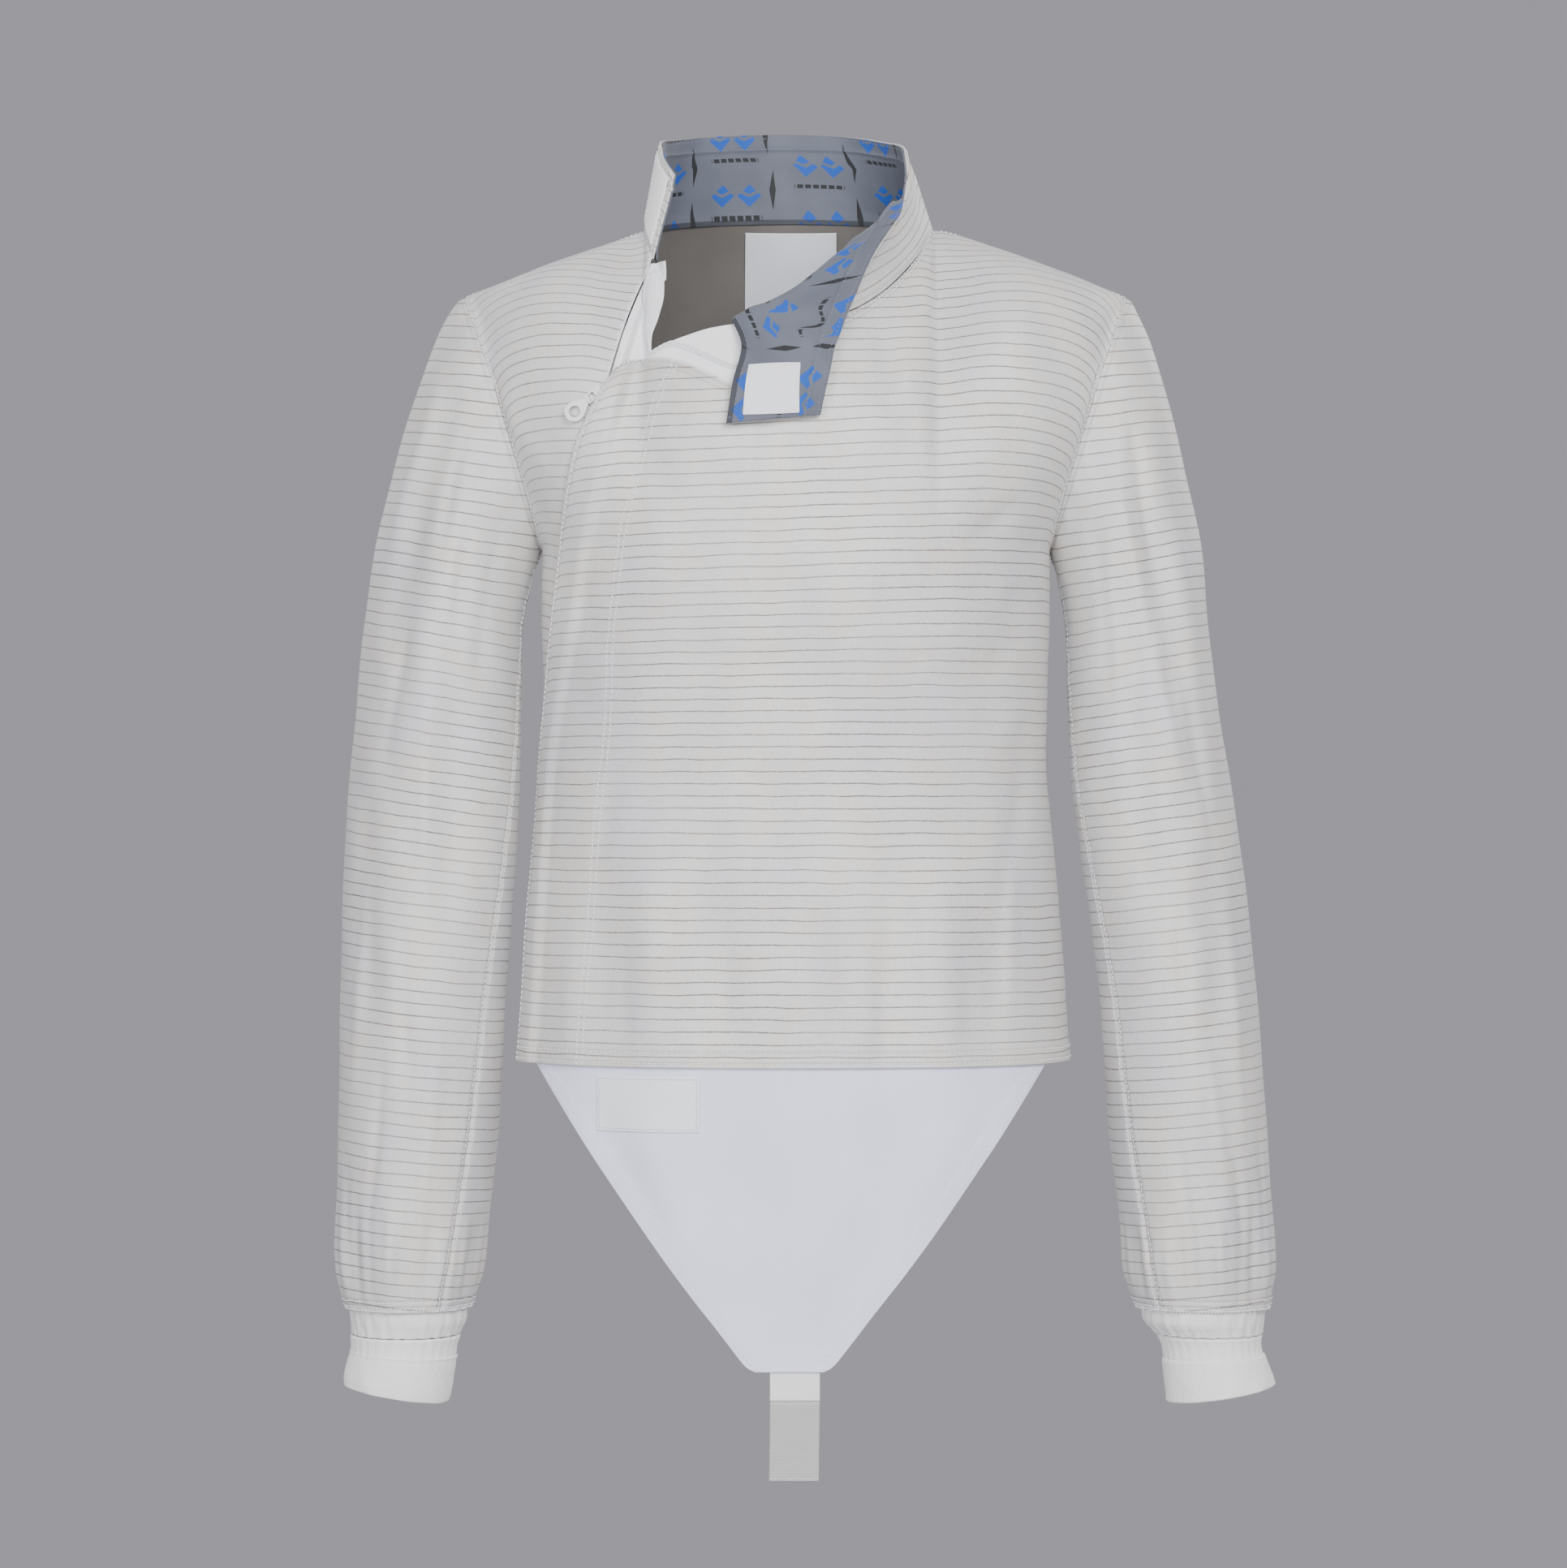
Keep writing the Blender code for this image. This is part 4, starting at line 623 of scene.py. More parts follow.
def lameCloth(name, seams, tint=1.0):  # seams: distances of the sewn rows from the left, right, low and top edge
    look = Look(name, {"Metallic": lame["metallic"], "Sheen Weight": 0.12, "Sheen Roughness": 0.45})
    u, v, top = look.place()
    edges = look.place("edges") + [top]
    flat = look.vector(u, v)
    drift = look.noise(flat, 34.0, 2.0)
    patch = look.noise(look.vector(u, v * 0.35), 26.0, 3.0)
    fleck = look.noise(look.vector(u, v * 0.22), 900.0, 1.0)
    near = ((v + (drift - 0.5) * lame["lineWander"]) / lame["linePitch"]).math("PINGPONG", 0.5)
    broken = look.noise(look.vector(u, v * 0.1), 420.0, 2.0).ramp(0.28, 0.62) * 0.3 + 0.7
    fade = look.noise(flat, 13.0, 1.0).ramp(0.3, 0.7) * 0.3 + 0.7
    mark = (1 - near.ramp(0.026, 0.082)) * broken * fade
    rib, course = u.wave(lame["rib"]), v.wave(lame["course"])
    hills = [away.hill(place, lame["groove"]) for away, places in zip(edges, seams) for place in places]
    seamGrooveAndShade = sum(hills[1:], hills[0])
    crinkle = look.noise(flat, 330.0, 2.0)
    colour = look.mix(patch.ramp(0.35, 0.65), lame["light"], lame["cool"])
    colour = look.mix(drift.ramp(0.45, 0.75) * 0.6, colour, lame["warm"])
    colour = look.mix(mark * 0.92, colour, lame["line"])
    # painted shade: the colour darkens along the seam grooves, where shade falls; fleck, rib and course are the
    # knit's own tone
    shade = 1 - (fleck - 0.5) * 0.16 - (1 - rib) * 0.09 - (1 - course) * 0.03 - seamGrooveAndShade * 0.1
    colour = look.mix(1.0, colour, look.vector(*(shade * tint,) * 3), "MULTIPLY")
    height = rib * 0.00003 + course * 0.000012 + fleck * 0.00005 - mark * 0.00006
    height = height - seamGrooveAndShade * lame["grooveDepth"] * (crinkle + 0.5)
    rough = drift * 0.1 + mark * 0.15 + (lame["roughness"] - 0.08)
    return look.finish(colour, rough, look.bump(height, 0.8))


def wovenCloth(name, colour, shadow, thread, depth, rough=0.75, diagonal=0.0, sheen=0.15):
    look = Look(name, {"Sheen Weight": sheen, "Sheen Roughness": 0.5})
    u, v, _ = look.place()
    flat = look.vector(u, v)
    warp, weft = (u + v * diagonal).wave(thread), (v - u * diagonal).wave(thread * 1.15)
    weave = warp * weft
    cloud = look.noise(flat, 22.0, 3.0)
    slub = look.noise(look.vector(u * 0.2, v), 800.0, 1.0)
    made = look.mix(cloud.ramp(0.3, 0.7) * 0.5 + weave * 0.12 + (slub - 0.5) * 0.12, colour, shadow)
    return look.finish(made, cloud * 0.08 + rough, look.bump(weave * depth + slub * depth * 0.7, 0.8))


def knitCloth(name, colour, shadow):
    look = Look(name, {"Sheen Weight": 0.35, "Sheen Roughness": 0.6})
    u, v, _ = look.place()
    wale = (u + (look.noise(look.vector(u, v), 60.0, 1.0) - 0.5) * 0.0006).wave(0.0017)
    loop = (v + wale * 0.0004).wave(0.0012)
    fuzz = look.noise(look.vector(u, v), 1400.0, 3.0, 0.7)
    cloud = look.noise(look.vector(u, v), 45.0, 2.0)
    made = look.mix((1 - wale) * 0.22 + (fuzz - 0.5) * 0.35 + cloud * 0.15, colour, shadow)
    height = wale * 0.00022 + loop * 0.000077 + fuzz * 0.0002
    return look.finish(made, fuzz * 0.1 + 0.82, look.bump(height, 0.9))


def elasticWeb(name, colour, shadow):
    look = Look(name, {"Sheen Weight": 0.1})
    u, v, _ = look.place()
    left, right, _ = look.place("edges")
    pick, cord = v.wave(0.0011), u.wave(0.0021)
    selvedge = 1 - left.math("MINIMUM", right).ramp(0.0008, 0.0022)
    cloud = look.noise(look.vector(u, v), 70.0, 2.0)
    made = look.mix((1 - pick) * 0.25 + cloud * 0.25 + selvedge * 0.15, colour, shadow)
    height = pick * (0.00012 - selvedge * 0.00008) + cord * 0.00006 + selvedge * 0.0001
    return look.finish(made, cloud * 0.1 + 0.6, look.bump(height))


printedBand = {
    # the ground and its darker tone are the print's own colours, made darker in part as painted shade of the inside
    # of the collar
    "shadedGround": paint(94, 99, 112), "shadedDeep": paint(72, 76, 88), "blue": paint(0, 74, 168), "black": paint(24, 26, 30),
    "pitchX": 0.050, "pitchY": 0.034, "stagger": 0.46, "lozenge": 0.0068, "apart": 0.0082, "slit": 0.0011,
    "spindle": 0.0125, "slimness": 6.5, "dash": 0.0011, "dashRow": 0.015, "dashPitch": 0.0047, "darkFoot": 0.003,
}


def printedCloth(name):
    look = Look(name, {"Sheen Weight": 0.15, "Sheen Roughness": 0.5})
    u, v, _ = look.place()
    flat = look.vector(u, v)
    cloud = look.noise(flat, 26.0, 2.0)
    ribbed = u.wave(0.0009) * v.wave(0.0011)
    part = printedBand

    def cell(shiftX, shiftY):  # place inside a cell of a staggered layout, from its middle
        column = ((u + shiftX) / part["pitchX"]).math("FLOOR")
        y = v + shiftY + column * (part["pitchY"] * part["stagger"])
        x = ((u + shiftX) / part["pitchX"]).math("FRACT") - 0.5
        return x * part["pitchX"], ((y / part["pitchY"]).math("FRACT") - 0.5) * part["pitchY"]

    x, y = cell(0.006, 0.004)
    twin = (x.math("ABSOLUTE") - part["apart"]).math("ABSOLUTE")  # a pair of lozenges, each slit in half
    far = twin * 0.95 + y.math("ABSOLUTE")
    lozenge = 1 - far.ramp(part["lozenge"] - 0.00015, part["lozenge"] + 0.00015)
    lozenge = lozenge * (y - twin * 0.5).math("ABSOLUTE").ramp(part["slit"] - 0.0002, part["slit"])
    x, y = cell(0.034, 0.019)
    far = x.math("ABSOLUTE") * part["slimness"] + y.math("ABSOLUTE")  # a slim black spindle
    spindle = 1 - far.ramp(part["spindle"] - 0.0008, part["spindle"] + 0.0008)
    x, y = cell(0.006, 0.0165)
    dash = 1 - y.math("ABSOLUTE").ramp(part["dash"], part["dash"] + 0.0002)  # a row of short black dashes
    dash = dash * (1 - x.math("ABSOLUTE").ramp(part["dashRow"], part["dashRow"] + 0.0002))
    dash = dash * (x / part["dashPitch"]).math("PINGPONG", 0.5).ramp(0.1, 0.14)
    darkFoot = 1 - look.place("edges")[2].ramp(part["darkFoot"], part["darkFoot"] + 0.0006)  # dark, at the foot
    worn = look.noise(flat, 700.0, 2.0).ramp(0.2, 0.45) * 0.15 + 0.85
    made = look.mix(cloud.ramp(0.3, 0.7) * 0.5 + ribbed * 0.15, part["shadedGround"], part["shadedDeep"])
    made = look.mix(lozenge * worn, made, part["blue"])
    made = look.mix(spindle.math("MAXIMUM", dash) * worn, made, part["black"])
    made = look.mix(darkFoot * 0.7, made, part["black"])
    return look.finish(made, cloud * 0.1 + 0.68, look.bump(ribbed * 0.00004, 0.8))


def touchTape(name, colour, shadow, hooked):
    look = Look(name, {"Sheen Weight": 0.1 if hooked else 0.5, "Sheen Roughness": 0.5})
    u, v, _ = look.place()
    pile = look.noise(look.vector(u, v), 900.0 if hooked else 1500.0, 3.0, 0.65)
    dots = u.wave(0.0015) * v.wave(0.0013) if hooked else pile
    made = look.mix((1 - dots) * 0.3 + pile * 0.15, colour, shadow)
    return look.finish(made, pile * 0.15 + 0.6, look.bump(dots * 0.00025 + pile * 0.00015, 0.9))


def threadLook(name, colour, shadow, gloss=0.45):
    look = Look(name, {"Sheen Weight": 0.2})
    where = look.add("ShaderNodeTexCoord", out=3)
    twist = look.noise(where, 2600.0, 2.0)
    made = look.mix(twist.ramp(0.35, 0.65) * 0.6, colour, shadow)
    return look.finish(made, twist * 0.2 + gloss, look.bump(twist * 0.00008))


def enamelled(name, colour, worn):
    look = Look(name, {"Coat Weight": 0.35, "Coat Roughness": 0.15})
    where = look.add("ShaderNodeTexCoord", out=3)
    scuff = look.noise(where, 420.0, 4.0, 0.7)
    chipped = look.noise(where, 95.0, 3.0).ramp(0.66, 0.72) * scuff.ramp(0.45, 0.6)
    made = look.mix(scuff * 0.2 + chipped * 0.8, colour, worn)
    return look.finish(made, scuff * 0.2 + 0.25, look.bump(scuff * 0.00004 - chipped * 0.00005), chipped * 0.8)


seamRows = {  # material, tint, then the rows' distances from the left, right, low and top edge
    "front": ("lameFront", 1.0, (0.003,), (0.0025,), (0.0024, 0.0086), (0.0026, 0.006)),
    "side": ("lameSide", 1.0, (0.0025,), (), (0.0024, 0.0086), (0.0026,)),
    "back": ("lameBack", 1.0, (0.0025,), (0.0025,), (0.0024, 0.0086), (0.0026, 0.006)),
    "sleeve": ("lameSleeve", 0.985, (0.0025,), (), (0.0025,), (0.003, 0.0065)),
    "collar": ("lameCollar", 0.93, (), (), (0.0025,), (0.009,)),
}
otherLooks = {  # maker, material, colour and shade as the eye sees them, then the maker's other values in turn
    "inside": (wovenCloth, "insideCloth", (208, 206, 204), (192, 189, 187), 0.0008, 0.00003),
    # painted shade: the grey-white back lining is made dark to stand for the shade inside the neck
    "backLining": (wovenCloth, "backLining", (106, 102, 99), (90, 86, 83), 0.0007, 0.00003, 0.62, 0.3, 0.3),
    "label": (wovenCloth, "bareLabel", (236, 240, 245), (224, 230, 238), 0.0005, 0.00002, 0.5, 0.0, 0.2),
    # painted shade: the white neck label is a little darker, for the shade inside the neck
    "neckLabel": (wovenCloth, "neckLabel", (218, 222, 230), (202, 206, 215), 0.0005, 0.00002, 0.6, 0.0, 0.1),
    "apron": (wovenCloth, "apronCloth", (229, 231, 250), (216, 219, 243), 0.0009, 0.00003, 0.7, 0.15, 0.2),
    "tape": (wovenCloth, "zipTape", (244, 245, 248), (231, 233, 239), 0.0011, 0.00008, 0.7),
    "facing": (wovenCloth, "whiteFacing", (244, 245, 248), (231, 233, 239), 0.0008, 0.00003, 0.7),
    "wrist": (wovenCloth, "wristLining", (238, 237, 236), (222, 221, 220), 0.0008, 0.00005),
    "tab": (wovenCloth, "strapTab", (233, 233, 233), (220, 220, 220), 0.0009, 0.00008, 0.7),
    "knit": (knitCloth, "cuffKnit", (250, 249, 247), (226, 224, 221)),
    "elastic": (elasticWeb, "elasticWeb", (182, 182, 180), (154, 154, 152)),
    "hook": (touchTape, "hookTape", (244, 246, 250), (216, 219, 225), True),
    "loop": (touchTape, "loopTape", (250, 251, 252), (234, 236, 238), False),
    "thread_silver": (threadLook, "silverThread", (244, 245, 247), (220, 221, 226)),
    "thread_white": (threadLook, "whiteThread", (240, 241, 246), (216, 218, 228)),
    "thread_grey": (threadLook, "greyThread", (120, 127, 142), (96, 102, 118)),
    "thread_blue": (threadLook, "paleBlueThread", (170, 196, 218), (140, 170, 200)),
    "zip_coils": (threadLook, "zipCoil", (240, 241, 243), (220, 222, 226), 0.3),
    "enamel": (enamelled, "whiteEnamel", (232, 234, 236), (150, 150, 152)),
}
finishes = {key: lameCloth(name, rows, tint) for key, (name, tint, *rows) in seamRows.items()}
for key, (maker, name, colour, shade, *values) in otherLooks.items():
    finishes[key] = maker(name, paint(*colour), paint(*shade), *values)
finishes["print"] = printedCloth("printedLining")
print("materials ready")


# Body panels. Small folds are laid over the main ones, each placed one by one.

bodyFolds = {
    "front": [  # x and z of both ends, half width, height
        (-136, -262, -112, -276, 3.2, -1.6), (-128, -238, -104, -262, 5.0, 1.1), (-100, -300, -118, -380, 6.0, -1.2),
        (-92, -104, -60, -190, 9.0, -1.5), (-74, -92, -20, -150, 8.0, 1.2), (-30, -96, 6, -146, 7.0, -1.4),
        (20, -84, 66, -128, 6.0, 1.3), (74, -70, 58, -150, 8.0, -1.3), (92, -60, 118, -140, 9.0, 1.2),
        (138, -150, 96, -186, 6.0, -1.6), (142, -196, 104, -216, 5.0, 1.3), (140, -232, 108, -252, 5.0, -1.5),
        (139, -262, 116, -300, 6.0, 1.2), (134, -300, 118, -400, 5.5, -1.7), (126, -330, 122, -470, 4.5, 1.2),
        (-60, -350, -66, -490, 6.0, 1.1), (-40, -380, -38, -500, 5.0, -1.1), (-24, -400, -20, -500, 5.5, 1.0),
        (22, -370, 30, -500, 6.5, -1.2), (40, -400, 42, -500, 5.0, 1.0), (68, -380, 68, -500, 5.0, -1.2),
        (98, -400, 100, -500, 4.5, -1.0), (-128, -390, -134, -500, 5.0, 1.2), (-98, -400, -98, -500, 4.5, -1.0),
        (-66, -240, 10, -256, 12, -0.9), (24, -214, 92, -228, 11, -0.8), (-20, -300, 60, -292, 14, 0.8)],
    "side": [
        (-150, -176, -132, -214, 4.5, -1.5), (-176, -96, -134, -150, 6.0, 1.2), (-182, -120, -138, -176, 5.0, -1.4),
        (-120, -40, -110, -90, 6.0, 0.9), (-150, -250, -140, -330, 4.0, -1.0)],
    "back": [
        (-130, -150, -96, -200, 6.0, 1.4), (132, -150, 98, -204, 6.0, 1.3), (-146, -210, -120, -300, 6.0, -1.4),
        (146, -212, 122, -310, 6.0, -1.5), (-80, -200, -20, -226, 12.0, -1.0), (84, -210, 22, -232, 12.0, -0.9),
        (-84, -340, -82, -500, 5.5, 1.1), (-44, -370, -42, -500, 5.0, -1.2), (2, -360, 2, -500, 6.0, 1.0),
        (50, -370, 50, -500, 5.5, -1.1), (88, -350, 90, -500, 5.0, 1.1), (-120, -380, -122, -500, 5.0, 1.0),
        (126, -390, 128, -500, 5.0, -1.1), (-30, -20, -34, -80, 6.0, -0.9), (34, -18, 38, -84, 6.0, -0.8)],
}


def softRipple(x, z, size=0.34):  # faint unevenness of a filled out cloth
    return size * (np.sin(x / 17.0 + np.sin(z / 31.0)) * np.sin(z / 43.0 + x / 90.0)
                   + 0.6 * np.sin(x / 8.3 + z / 61.0 + 1.3) * np.sin(z / 27.0 - x / 50.0)
                   + 0.5 * np.sin(z / 12.5 + 2 * np.sin(x / 37.0)))


seam = {"groove": 1.15, "width": 2.3, "blend": 7.0, "topGroove": 0.55, "shoulderGroove": 1.0, "topWidth": 2.1,
        "topBlend": 6.0, "calmSide": 9.0, "calmTop": 16.0, "calmHem": 20.0, "pucker": 0.32, "puckerPlace": 4.5}
hemBand = {"width": 8.4, "edge": 1.2, "height": 0.45, "ripple": 0.14, "dip": 10.6, "dipWidth": 1.8, "dipRipple": 0.2}


def seamNormal(angle, front, side):  # way out of the wall at the armhole, shared with the sleeve
    depth = np.sin(angle) * (-1 if front else 1)
    lean = 0.8 * np.sqrt(np.maximum(1 - np.cos(angle), 0) / 2) + 0.7 * bell(angle, 0.4)
    return unit(np.stack((side * lean, depth, -np.cos(angle)), -1))


def turnToward(normals, target, near):  # turns the normals by the share near
    return unit(lerp(normals, np.broadcast_to(target, normals.shape), near[..., None]))


def dressBody(points, front, folds, sides):  # folds, hem band and seam grooves; sides: column and side of each seam
    normals = gridNormals(points, front)
    x, z = points[..., 0], points[..., 2]
    across, hemAway, topAway = arcFrom(points, 1, 0), arcFrom(points, 0, 0), arcFrom(points, 0, 1)
    calm = smooth(topAway / seam["calmTop"]) * smooth(hemAway / seam["calmHem"])
    height = (foldField(x, z, folds) + softRipple(x, z)) * (0.25 + 0.75 * calm)
    band = 1 - smooth((hemAway - hemBand["width"]) / hemBand["edge"])
    height += band * (hemBand["height"] + hemBand["ripple"] * np.sin(across / 1.9 + hemAway / 2.1))
    height += hemBand["dipRipple"] * bell(hemAway - hemBand["dip"], hemBand["dipWidth"]) * np.sin(across / 6.5)
    for column, side in sides:
        away = arcFrom(points, 1, 0 if column == 0 else 1)
        line = z[:, column]
        below = (line <= torso["armpitZ"])[:, None]
        target = np.where(below, np.array((side, 0.0, 0.0)), seamNormal(armholeAngle(line), front, side))
        normals = turnToward(normals, target[:, None], bell(away, seam["blend"]))
        height = height * smooth(away / seam["calmSide"]) - seam["groove"] * bell(away, seam["width"])
        pucker = (np.sin(line / 2.7) + np.sin(line / 4.1 + 1))[:, None] / 2
        height += seam["pucker"] * pucker * bell(away - seam["puckerPlace"], seam["puckerPlace"])
    topX = points[-1, :, 0]
    shoulder = np.abs(topX) >= np.where(topX > 0, torso["neckLeft"], torso["neckRight"]) - 0.01
    slope = (shoulderZ(topX + 1) - shoulderZ(topX - 1)) / 2
    up = unit(np.stack((-slope, np.zeros_like(slope), np.ones_like(slope)), -1))
    normals = turnToward(normals, up[None], bell(topAway, seam["topBlend"]) * shoulder[None])
    height -= np.where(shoulder, seam["shoulderGroove"], seam["topGroove"])[None] * bell(topAway, seam["topWidth"])
    return points + normals * height[..., None], normals


bodyCloth = 1.5  # thickness of the panels
leftShoulder = shoulderTops(closure["shoulderStops"], 1)
frontTops = closure["droop"] + neckTops(closure["neckAngles"]) + leftShoulder
rawFront = fineEdges(panelGrid(frontTops, True, (placketX, midFlap, flapInner, flapEnd)))
level = unit(gridNormals(rawFront) * (1, 1, 0))
rawFront = rawFront + level * placketLift(rawFront[..., 0], rawFront[..., 2])[..., None]
front = dressBody(rawFront, True, bodyFolds["front"], ((-1, 1),))
makeCloth("front_main", *front, bodyCloth, ["front", "inside"], slot="lame", flat=(0.415, 0.532), area=0.167)

sideTops = shoulderTops(closure["sideShoulderStops"], -1) + neckTops(closure["sideNeckAngles"])
rawSide = fineEdges(panelGrid(sideTops, True, rightEdge=zipX, perColumn=5))
side = dressBody(rawSide, True, bodyFolds["side"], ((0, -1),))
makeCloth("front_side", *side, bodyCloth, ["side", "inside"], slot="lame", flat=(0.163, 0.541), area=0.0295)

backTops = shoulderTops(closure["shoulderStops"][::-1], -1) + neckTops(closure["backNeckAngles"]) + leftShoulder
plainBack = panelGrid(backTops, False, highRows=70)
back = dressBody(fineEdges(plainBack), False, bodyFolds["back"], ((0, -1), (-1, 1)))
makeCloth("back", *back, bodyCloth, ["back", "inside"], slot="lame", flat=(0.482, 0.524), area=0.202)
print("body panels made")

# What shows inside the neck: the lining of the upper back and its bare label

neck = {
    "rows": slice(lowRows + 15, None), "columns": slice(36, 97), "liningDepth": 2.3, "lining": 0.8, "ripple": 0.5,
    "label": (-31.0, 26.0, -46.0, 15.0), "labelDepth": 3.7, "labelCloth": 0.35,
}


def sheetPlaces(left, right, low, high, columns, rows):
    return np.meshgrid(np.linspace(left, right, columns), np.linspace(low, high, rows))


def onBody(xs, zs, front, depth):
    points = bodyPoint(xs, zs, front)
    return points - gridNormals(points, front) * np.asarray(depth)[..., None]


lining = plainBack[neck["rows"], neck["columns"]]
liningNormals = gridNormals(plainBack, False)[neck["rows"], neck["columns"]]
lining = lining - liningNormals * neck["liningDepth"]
ripple = neck["ripple"] * np.sin(lining[..., 0] / 9 + lining[..., 2] / 30) * smooth(arcFrom(lining, 0, 1) / 20)
makeCloth("back_lining", lining + liningNormals * ripple[..., None], liningNormals, neck["lining"], ["backLining"],
          slot="back_lining", flat=(0.23, 0.2), area=0.04, restsOn=["back"])
left, right, low, high = neck["label"]
xs, zs = sheetPlaces(left, right, low, high, 30, 32)
labelPoints = fineEdges(onBody(xs, zs, False, neck["labelDepth"] - 0.5 * np.sin((zs - low) / 12)))
label = labelPoints, gridNormals(labelPoints, False)
makeCloth("neck_label", *label, neck["labelCloth"], ["neckLabel"], flat=(0.057, 0.063), held="laid",
          restsOn=["back_lining"])


# Sleeves

sleeves = {
    "outer": [  # z, then distance from the middle for the right and the left sleeve
        (-627, 264.5, 279.0), (-618, 267.6, 280.4), (-606, 269.8, 281.8), (-585, 270.8, 281.4),
        (-533, 269.5, 278.5), (-447, 268.5, 272.5), (-360, 266.0, 263.0), (-274, 259.0, 249.5),
        (-231, 255.0, 244.0), (-187, 249.0, 240.5), (-130, 236.0, 229.0), (-87, 223.0, 218.5),
        (-58, 212.5, 209.5), (-43, 205.0, 202.5), (-32, 196.5, 196.5)],
    "inner": [
        (-627, 191.0, 201.0), (-618, 188.8, 198.2), (-606, 186.0, 195.5), (-585, 182.5, 193.0),
        (-533, 176.0, 186.0), (-447, 171.0, 180.0), (-360, 164.5, 168.5), (-317, 162.5, 163.0),
        (-274, 162.0, 161.0), (-231, 161.5, 160.0), (-200, 156.0, 155.5), (-182, 150.0, 150.0)],
    "depth": [  # share of the length, then depth to the front and to the back
        (0.0, 50, 58), (0.15, 54, 57), (0.35, 53, 54), (0.6, 50, 50), (0.85, 46, 46), (0.94, 43, 43),
        (1.0, 38, 38)],
    "creases": {  # angle round the sleeve and share of its length at both ends, half width, height
        -1: [(118, 0.02, 130, 0.34, 13, -4.0), (92, 0.05, 104, 0.5, 14, 2.5), (78, 0.22, 70, 0.62, 12, -3.0),
             (140, 0.45, 118, 0.78, 13, -2.5), (250, 0.04, 236, 0.4, 16, -4.0), (275, 0.4, 262, 0.8, 16, -3.0)],
        1: [(104, 0.06, 116, 0.36, 13, -4.0), (128, 0.2, 140, 0.5, 13, 2.5), (84, 0.12, 74, 0.56, 12, -3.0),
            (122, 0.5, 108, 0.8, 13, -2.5), (244, 0.06, 232, 0.42, 16, -4.0), (268, 0.42, 258, 0.82, 16, -3.0)]},
    "smallCreases": {
        -1: [(104, 0.04, 100, 0.2, 5, -1.6), (134, 0.05, 144, 0.24, 5, 1.4), (84, 0.08, 82, 0.26, 5, -1.3),
             (112, 0.24, 124, 0.44, 5, -1.5), (96, 0.3, 88, 0.56, 5, 1.3), (58, 0.02, 64, 0.3, 6, -1.2),
             (132, 0.52, 140, 0.8, 5, 1.2), (100, 0.58, 92, 0.82, 5, -1.3), (72, 0.66, 80, 0.9, 5, 1.2),
             (112, 0.72, 120, 0.93, 4, -1.5), (88, 0.82, 84, 0.98, 4, -1.4), (146, 0.84, 138, 0.98, 4, -1.3),
             (230, 0.1, 240, 0.3, 6, -1.4), (262, 0.3, 250, 0.6, 6, 1.3), (288, 0.5, 280, 0.9, 6, -1.3)],
        1: [(112, 0.03, 108, 0.22, 5, -1.6), (90, 0.06, 96, 0.26, 5, 1.4), (136, 0.08, 142, 0.26, 5, -1.3),
            (100, 0.26, 110, 0.46, 5, 1.4), (120, 0.3, 128, 0.54, 5, -1.4), (66, 0.03, 60, 0.32, 6, -1.2),
            (92, 0.5, 84, 0.78, 5, -1.4), (134, 0.56, 126, 0.84, 5, 1.2), (104, 0.7, 110, 0.92, 4.5, 1.3),
            (76, 0.78, 80, 0.97, 4, -1.4), (118, 0.82, 124, 0.98, 4, -1.5), (148, 0.8, 144, 0.97, 4, -1.2),
            (232, 0.1, 240, 0.34, 6, -1.4), (256, 0.3, 250, 0.6, 6, 1.3), (284, 0.5, 276, 0.9, 6, -1.3)]},
    "bottom": -627.0, "gathers": 7, "gatherHeight": 2.0, "tightFrom": 0.86, "radius": 46.0, "forward": 12.0,
    "seamTurn": {-1: 55.0, 1: 46.0}, "rows": 130, "columns": 150, "cloth": 1.5,
    "pucker": 0.4, "puckerPlace": 5.0, "hem": 6.5, "hemEdge": 1.2, "lineSlope": (0.22, 0.09),
}
sleeveOuter, sleeveInner, sleeveDepth = (curvesOf(sleeves[k]) for k in ("outer", "inner", "depth"))


def sleevePoint(sign, share, angle):  # angle: 0 is the inner side, a quarter the front, a half the outer side
    outer, inner = sleeveOuter[sign > 0], sleeveInner[sign > 0]
    outerZ, innerZ = (lerp(torso[k], sleeves["bottom"], share) for k in ("tipZ", "armpitZ"))
    farX, nearX = outer(outerZ), inner(innerZ)
    degrees = np.degrees(angle) % 360
    depth = np.where(np.sin(angle) > 0, sleeveDepth[0](share), sleeveDepth[1](share))
    tight = smooth((share - sleeves["tightFrom"]) / 0.09) * (1 - 0.85 * smooth((share - 0.95) / 0.05))
    bulge = creaseField(degrees, share, sleeves["creases"][sign])
    bulge = bulge + sleeves["gatherHeight"] * np.cos(sleeves["gathers"] * angle) * tight
    bulge = bulge + tight * (0.8 * np.cos(17 * angle + 1.2) + 0.45 * np.cos(29 * angle + share * 20))
    bulge = bulge + creaseField(degrees, share, sleeves["smallCreases"][sign]) * 0.9
    bulge = bulge + 0.35 * np.sin(angle * 5 + share * 23) * np.sin(share * 31 + angle * 2)
    grow = 1 + bulge * smooth(share / 0.05) / sleeves["radius"]
    x = (farX + nearX) / 2 - (farX - nearX) / 2 * np.cos(angle) * grow
    x = sign * (x - torso["armholeBow"] * np.sin(angle) ** 2 * (1 - share) ** 8)
    y = -depth * np.sin(angle) * grow - sleeves["forward"] * share ** 2
    z = (outerZ + innerZ) / 2 - (outerZ - innerZ) / 2 * np.cos(angle) * grow
    return np.stack((x, y, z), -1)


sleeveGrids, wristGrids = {}, {}


